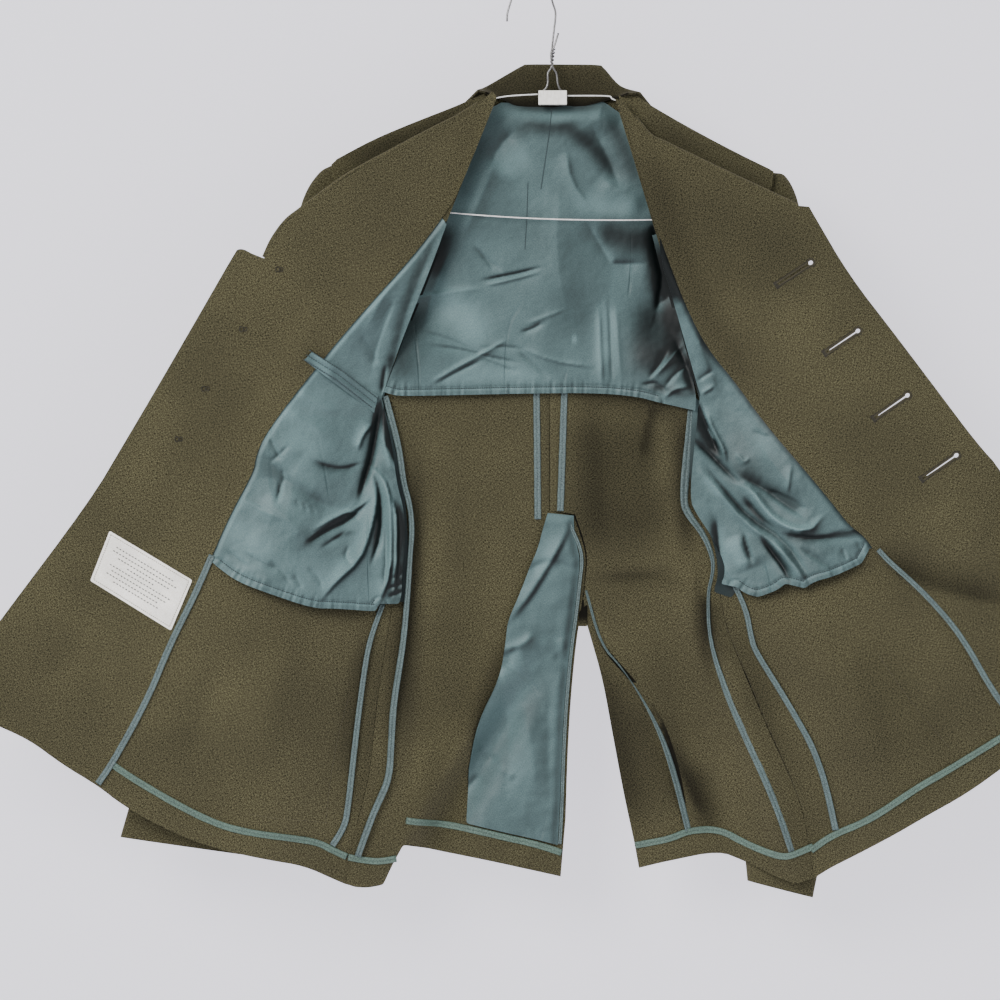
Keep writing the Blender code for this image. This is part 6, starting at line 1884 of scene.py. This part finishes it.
# %% Wires
# the wires as X and Z; hook and frame lie in one plane, the stub in front of it
HOOK = [
    (-25.0, -41.3), (-24.5, -33.6), (-22.1, -25.0), (-18.7, -15.4), (-13.4, -6.7), (-6.7, -1.0), (0.0, 1.1),
    (6.7, -1.0), (13.0, -6.7), (16.8, -15.4), (19.2, -24.0), (21.6, -31.7), (21.6, -39.4), (20.2, -50.9),
    (18.2, -70.1), (18.0, -84.5), (14.4, -91.2), (14.0, -102.3), (10.6, -107.4), (6.7, -108.8),
]
STUB = [
    (24.5, -52.8), (20.6, -65.3), (17.3, -72.0), (18.6, -84.5), (22.5, -91.9), (24.0, -102.3), (26.9, -108.0),
    (31.7, -110.4),
]
FRAME = [
    (4.7, -111.4), (-12.5, -112.3), (-29.3, -113.9), (-50.9, -119.0), (-74.9, -128.3), (-98.9, -137.8),
    (-127.7, -149.3), (-156.5, -161.8), (-171.8, -169.4), (-178.1, -175.7), (-179.0, -185.3),
    (-175.7, -195.8),
    (-168.0, -203.5), (-127.7, -217.0), (-82.6, -225.1), (11.5, -231.4), (114.2, -232.3), (179.5, -227.5),
    (205.4, -219.8), (215.0, -211.2), (217.9, -199.7), (215.0, -187.2), (207.4, -179.0), (197.8, -174.2),
    (150.7, -149.3), (102.7, -125.8), (77.8, -116.4), (71.0, -113.1), (33.2, -112.8),
]
CLIP = ((5.3, -121.6), (32.6, -108.1))
CLIP_DEPTH = 9.0

def tube(name, node, path, radius, material, count, sides=12):
    path = curved(path, count)
    rows = []
    up = Vector((0.0, 1.0, 0.0))
    for i, place in enumerate(path):
        ahead = (path[min(i + 1, count - 1)] - path[max(i - 1, 0)]).normalized()
        side = ahead.cross(up).normalized()
        over = side.cross(ahead)
        rows.append([place + (side * math.cos(a) + over * math.sin(a)) * radius
                     for a in (2.0 * math.pi * k / sides for k in range(sides))])
    return finished(name, swept(rows, True), material, node)


def in_plane(line, depth=0.0):
    return [(x, depth, z) for x, z in line]


tube("hook_wire", ["hanger_hook"], in_plane(HOOK), 0.95, "wire", 120)
tube("stub_wire", ["hanger_stub"], in_plane(STUB, -2.8), 0.9, "wire", 60)
tube("frame_wire", ["hanger_frame"], in_plane(FRAME), 0.68, "coated_wire", 260)
turns = []
for step in range(61):
    turn = step / 60.0
    angle = 2.0 * math.pi * 4.0 * turn
    turns.append((mix(19.8, 18.0, turn) + 1.3 * math.cos(angle), -1.2 + 1.5 * math.sin(angle),
                  mix(-68.0, -82.0, turn)))
tube("twist_wire", [], turns, 0.7, "wire", 61, 8)

(x0, z0), (x1, z1) = CLIP
bm = bmesh.new()
bmesh.ops.create_cube(bm, size=1.0)
bmesh.ops.scale(bm, vec=(x1 - x0, CLIP_DEPTH, z1 - z0), verts=bm.verts)
bmesh.ops.translate(bm, vec=((x0 + x1) / 2.0, -1.0, (z0 + z1) / 2.0), verts=bm.verts)
bmesh.ops.bevel(bm, geom=bm.edges[:], offset=0.6, segments=3, profile=0.5, affect="EDGES", material=-1)
front = min(bm.faces, key=lambda face: face.calc_center_median().y)
bmesh.ops.inset_region(bm, faces=[front], thickness=1.2, depth=0.0)
bmesh.ops.translate(bm, vec=(0.0, 0.15, 0.0), verts=front.verts)
finished("clip_moulded", bm, "clip", ["hanger_clip"])
print("hanger:", len(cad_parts), "nodes in all")

# %% [markdown]
# ## Stitches
# Stitches are what tells cloth from plastic. A stitch is a tiny rounded bar, and a seam
# is a row of them at an even pitch, lying just on the cloth. A shape that is repeated
# this often must be small, so each is an icosphere of 20 faces, stretched.

# %% Rows of stitches
def stitched(name, seams, material, slot, pitch=2.6, long=1.9, thick=0.42, across=False):
    """Stitches along seams. Each seam is a path, a surface and a height above it."""
    bm = bmesh.new()
    layer = bm.loops.layers.uv.new("grain")
    for path, surface, lift in seams:
        places = walked(path, pitch)
        x = np.array([p[0] for p in places])
        z = np.array([p[1] for p in places])
        height = lift(x, z) + 0.25 if callable(lift) else np.full(x.shape, lift)
        for (px, pz, angle), deep in zip(places, surface(x, z) - height):
            turn = angle + (math.pi / 2.0 if across else 0.0)
            matrix = (Matrix.Translation((px, deep, pz)) @ Matrix.Rotation(-turn, 4, "Y")
                      @ Matrix.Diagonal((long / 2.0, thick / 2.0, thick / 2.0, 1.0)))
            bmesh.ops.create_icosphere(bm, subdivisions=1, radius=1.0, matrix=matrix)
    count = len(bm.faces) // 20
    piece = finished(name, bm, material)
    print(name, "of", count, "stitches")
    return piece


tape_seams = []
for line, surface, height, beside in SEWN_TAPES:
    tape_seams.append((shifted(line, beside), surface, height))
stitched("tape_stitches", tape_seams, "teal_thread", "tape", thick=0.6)

hems = [
    (shifted(right_hem, 6.6), right_front, right_lining_lift),
    (shifted(left_hem, -6.6), left_front, left_lining_lift),
    (shifted(softened(BACK_LINING_HEM), -6.2), back, back_lining_lift),
]
stitched("lining_hem_stitches", hems, "teal_thread", "lining", pitch=2.2, long=2.2, thick=1.3)

strap_rows = [shifted(strap_middle, 0.0), shifted(strap_middle, 5.2), shifted(strap_middle, -5.2)]
stitched("strap_stitches", [(row, right_front, lambda x, z: strap_lift(x, z) + 0.1) for row in strap_rows],
         "teal_thread", "lining", pitch=2.5, long=2.2, thick=1.3)
pleat = [([(18.2, -125.8), (15.4, -151.7), (7.7, -202.6)], back, back_lining_lift),
         ([(-4.8, -196.8), (-5.8, -230.4), (-7.7, -260.2)], back, back_lining_lift)]
stitched("pleat_stitches", pleat, "teal_thread", "lining", pitch=1.7, long=2.0, thick=0.8)

# %% [markdown]
# The label is held by one row of stitches. Where it would carry care words it has only
# plain bars, in rows of one length after another, so that nothing can be read.

# %% Label stitches and its plain bars
stitched("label_stitches", [(label_seam + label_seam[:1], right_front, lambda x, z: label_lift(x, z) + 0.15)],
         "cream_thread", "label", pitch=2.2, long=1.7, thick=0.7)
corner, top_end, low_end = Vector(LABEL[0]), Vector(LABEL[1]), Vector(LABEL[3])
right_way, down_way = (top_end - corner), (low_end - corner)
bars = []
for row, (start, end) in enumerate(((0.14, 0.84), (0.12, 0.88), (0.20, 0.80), (0.33, 0.66), (0.14, 0.86),
                                    (0.18, 0.82), (0.14, 0.74), (0.24, 0.78))):
    down = 0.20 + row * 0.085
    bars.append([tuple(corner + right_way * start + down_way * down),
                 tuple(corner + right_way * end + down_way * down)])
stitched("label_bars", [(bar, right_front, lambda x, z: label_lift(x, z) + 0.1) for bar in bars],
         "grey_thread", "label", pitch=3.4, long=2.5, thick=1.1)

# %% [markdown]
# ## Buttonholes and button shanks
# A buttonhole is worked all round with close stitches that lie across its edge, and
# ends in a bar tack. Where a button is sewn on from the other side, its thread shows on
# the facing as a small knot in a dimple.

# %% Buttonhole threads
left_lift = facing_lift(LEFT_EDGE, LEFT_FACING_EDGE)


def round_hole(eye, end, beside):
    """A path round a buttonhole, some way outside its edge."""
    length, ring = math.dist(eye, end), beside + 1.3
    path = [(length, -beside), (2.0, -beside)]
    path += [(ring * math.cos(math.radians(a)), ring * math.sin(math.radians(a))) for a in range(-60, -301,
                                                                                                 -20)]
    return along_hole(eye, end, path + [(2.0, beside), (length, beside)])


worked = [(round_hole(eye, end, 1.7), left_front, left_lift) for eye, end in BUTTONHOLES]
stitched("buttonhole_stitches", worked, "olive_thread", "wool", pitch=0.85, long=1.9, thick=0.8, across=True)
grooves = [(round_hole(eye, end, 2.9), left_front, left_lift) for eye, end in BUTTONHOLES]
stitched("buttonhole_grooves", grooves, "dark_thread", "wool", pitch=1.2, long=1.5, thick=0.7)
tacks = []
for eye, end in BUTTONHOLES:
    for along in (-0.7, 0.4, 1.5):
        ahead = math.dist(eye, end) + along
        tacks.append((along_hole(eye, end, [(ahead, -3.2), (ahead, 3.2)]), left_front, left_lift))
stitched("bar_tack_stitches", tacks, "dark_thread", "wool", pitch=0.9, long=1.8, thick=1.0)

right_lift = facing_lift(RIGHT_EDGE, RIGHT_FACING_EDGE)
knots = []
for x, z in BUTTONS:
    for dx, wide in ((-1.6, 1.9), (2.2, 1.5)):
        ring = [(x + dx + wide * math.cos(turn),
                 z + 1.3 * wide * math.sin(turn)) for turn in np.linspace(0.6, 6.4, 9)]
        knots.append((ring, right_front, lambda x, z: right_lift(x, z) + 0.4))
stitched("button_knots", knots, "dark_thread", "wool", pitch=1.3, long=1.5, thick=1.1)

# %% [markdown]
# ## Seams that show on the wool
# The patch pockets are sewn through the fronts, so their outlines show inside as rows
# of stitches in a faint groove. The same goes for the shaping seams of the skirts.

# %% Stitch lines on the wool
# path, surface
LINES = [
    ([(-178, -694), (-188, -732), (-195, -770), (-199, -812)], right_front),
    ([(-199, -812), (-224, -809), (-252, -806), (-272, -802)], right_front),
    ([(331, -652), (354, -685), (374, -711), (397, -738)], left_front),
    ([(185, -622), (204, -667), (224, -715), (237, -744), (249, -772), (260, -799)], left_front),
]
stitched("pocket_seam_stitches", [(softened(path), surface, 0.05) for path, surface in LINES],
         "olive_thread", "wool", pitch=2.4, long=1.7, thick=0.5)

# %% [markdown]
# ## The sheets and their cuts
# Each panel of cloth was cut flat before it was sewn, so its size can be given. The
# cloth's own UV map is in metres along the grain, so the panel's reach in it is the
# size of the cut. A long panel that hangs on the slant is first turned to its own
# length. The table also lists how each panel is held, what it rests on and what is sewn
# on it; the size and the hold are printed.

# %% Sheets
def flat_cut(piece):
    """The width, length and area in metres of the flat panel a piece was made from."""
    mesh = piece.data
    spots = np.empty(2 * len(mesh.loops))
    mesh.uv_layers["grain"].data.foreach_get("uv", spots)
    spots = spots.reshape(-1, 2)
    turned = (spots - spots.mean(axis=0)) @ np.linalg.eigh(np.cov(spots.T))[1]
    width, length = sorted(turned.max(axis=0) - turned.min(axis=0))
    return width, length, min(sum(face.area for face in mesh.polygons), width * length)


RIGHT_TAPES = ["side_tape_front_right_bound", "facing_tape_right_bound", "hem_tape_front_right_bound"]
LEFT_TAPES = ["side_tape_front_left_bound", "facing_tape_left_bound", "hem_tape_front_left_bound"]
BACK_TAPES = [f"{node}_bound" for node in ("side_tape_back_right", "side_tape_back_left", "centre_tape_right",
                                           "centre_tape_left", "hem_tape_side_right", "hem_tape_back_right")]
#   piece, how it is held, what it rests on, what is sewn on it
SHEETS = [
    ("back_right_wool", "hung", ["hanger_frame"], BACK_TAPES + ["centre_seam_wool", "vent_head_wool"]),
    ("back_left_wool", "hung", ["hanger_frame"],
     ["vent_edge_tape_bound", "hem_tape_back_left_bound", "vent_hollow_0_wool", "vent_hollow_1_wool"]),
    ("front_right_wool", "hung", ["hanger_frame"], RIGHT_TAPES + ["side_seam_right_wool"]),
    ("front_left_wool", "hung", ["hanger_frame"], LEFT_TAPES + ["side_seam_left_wool"]),
    ("facing_right_wool", "laid", ["front_right_wool"], ["button_knots"]),
    ("facing_left_wool", "laid", ["front_left_wool"], ["buttonhole_stitches", "bar_tack_stitches"]),
    ("shoulder_right_wool", "hung", ["hanger_frame"], []),
    ("shoulder_left_wool", "hung", ["hanger_frame"], []),
    ("lapel_right_wool", "folded", ["front_right_wool"], []),
    ("lapel_left_wool", "folded", ["front_left_wool"], []),
    ("collar_wool", "folded", ["back_right_wool"], []),
    ("topsleeve_right_wool", "hung", [], []),
    ("undersleeve_right_wool", "hung", [], []),
    ("topsleeve_left_wool", "hung", [], []),
    ("undersleeve_left_wool", "hung", [], []),
    ("pocket_right_wool", "laid", ["front_right_wool"], []),
    ("pocket_left_wool", "laid", ["front_left_wool"], []),
    ("flap_right_wool", "laid", ["pocket_right_wool"], []),
    ("flap_left_wool", "laid", ["pocket_left_wool"], []),
    ("back_lining_satin", "hung", ["back_right_wool"], ["pleat_stitches", "underarm_left_satin"]),
    ("front_lining_right_satin", "gathered", ["front_right_wool"],
     ["strap_stitches", "underarm_right_satin", "turned_lining_right_satin"]),
    ("front_lining_left_satin", "gathered", ["front_left_wool"], ["turned_lining_left_satin"]),
    ("vent_cover_satin", "laid", ["back_right_wool"], ["vent_piping_bound"]),
    ("pocket_strap_satin", "laid", ["front_lining_right_satin"], []),
    ("label_cotton", "laid", ["facing_right_wool"], ["label_stitches", "label_bars"]),
]
for name, held, under, sewn_on in SHEETS:
    width, length, area = flat_cut(SHOWN[name])
    print(f"{name:26s} {width * 1000.0:5.0f} x {length * 1000.0:5.0f} mm, {area * 1e4:7.0f} cm2, {held}")
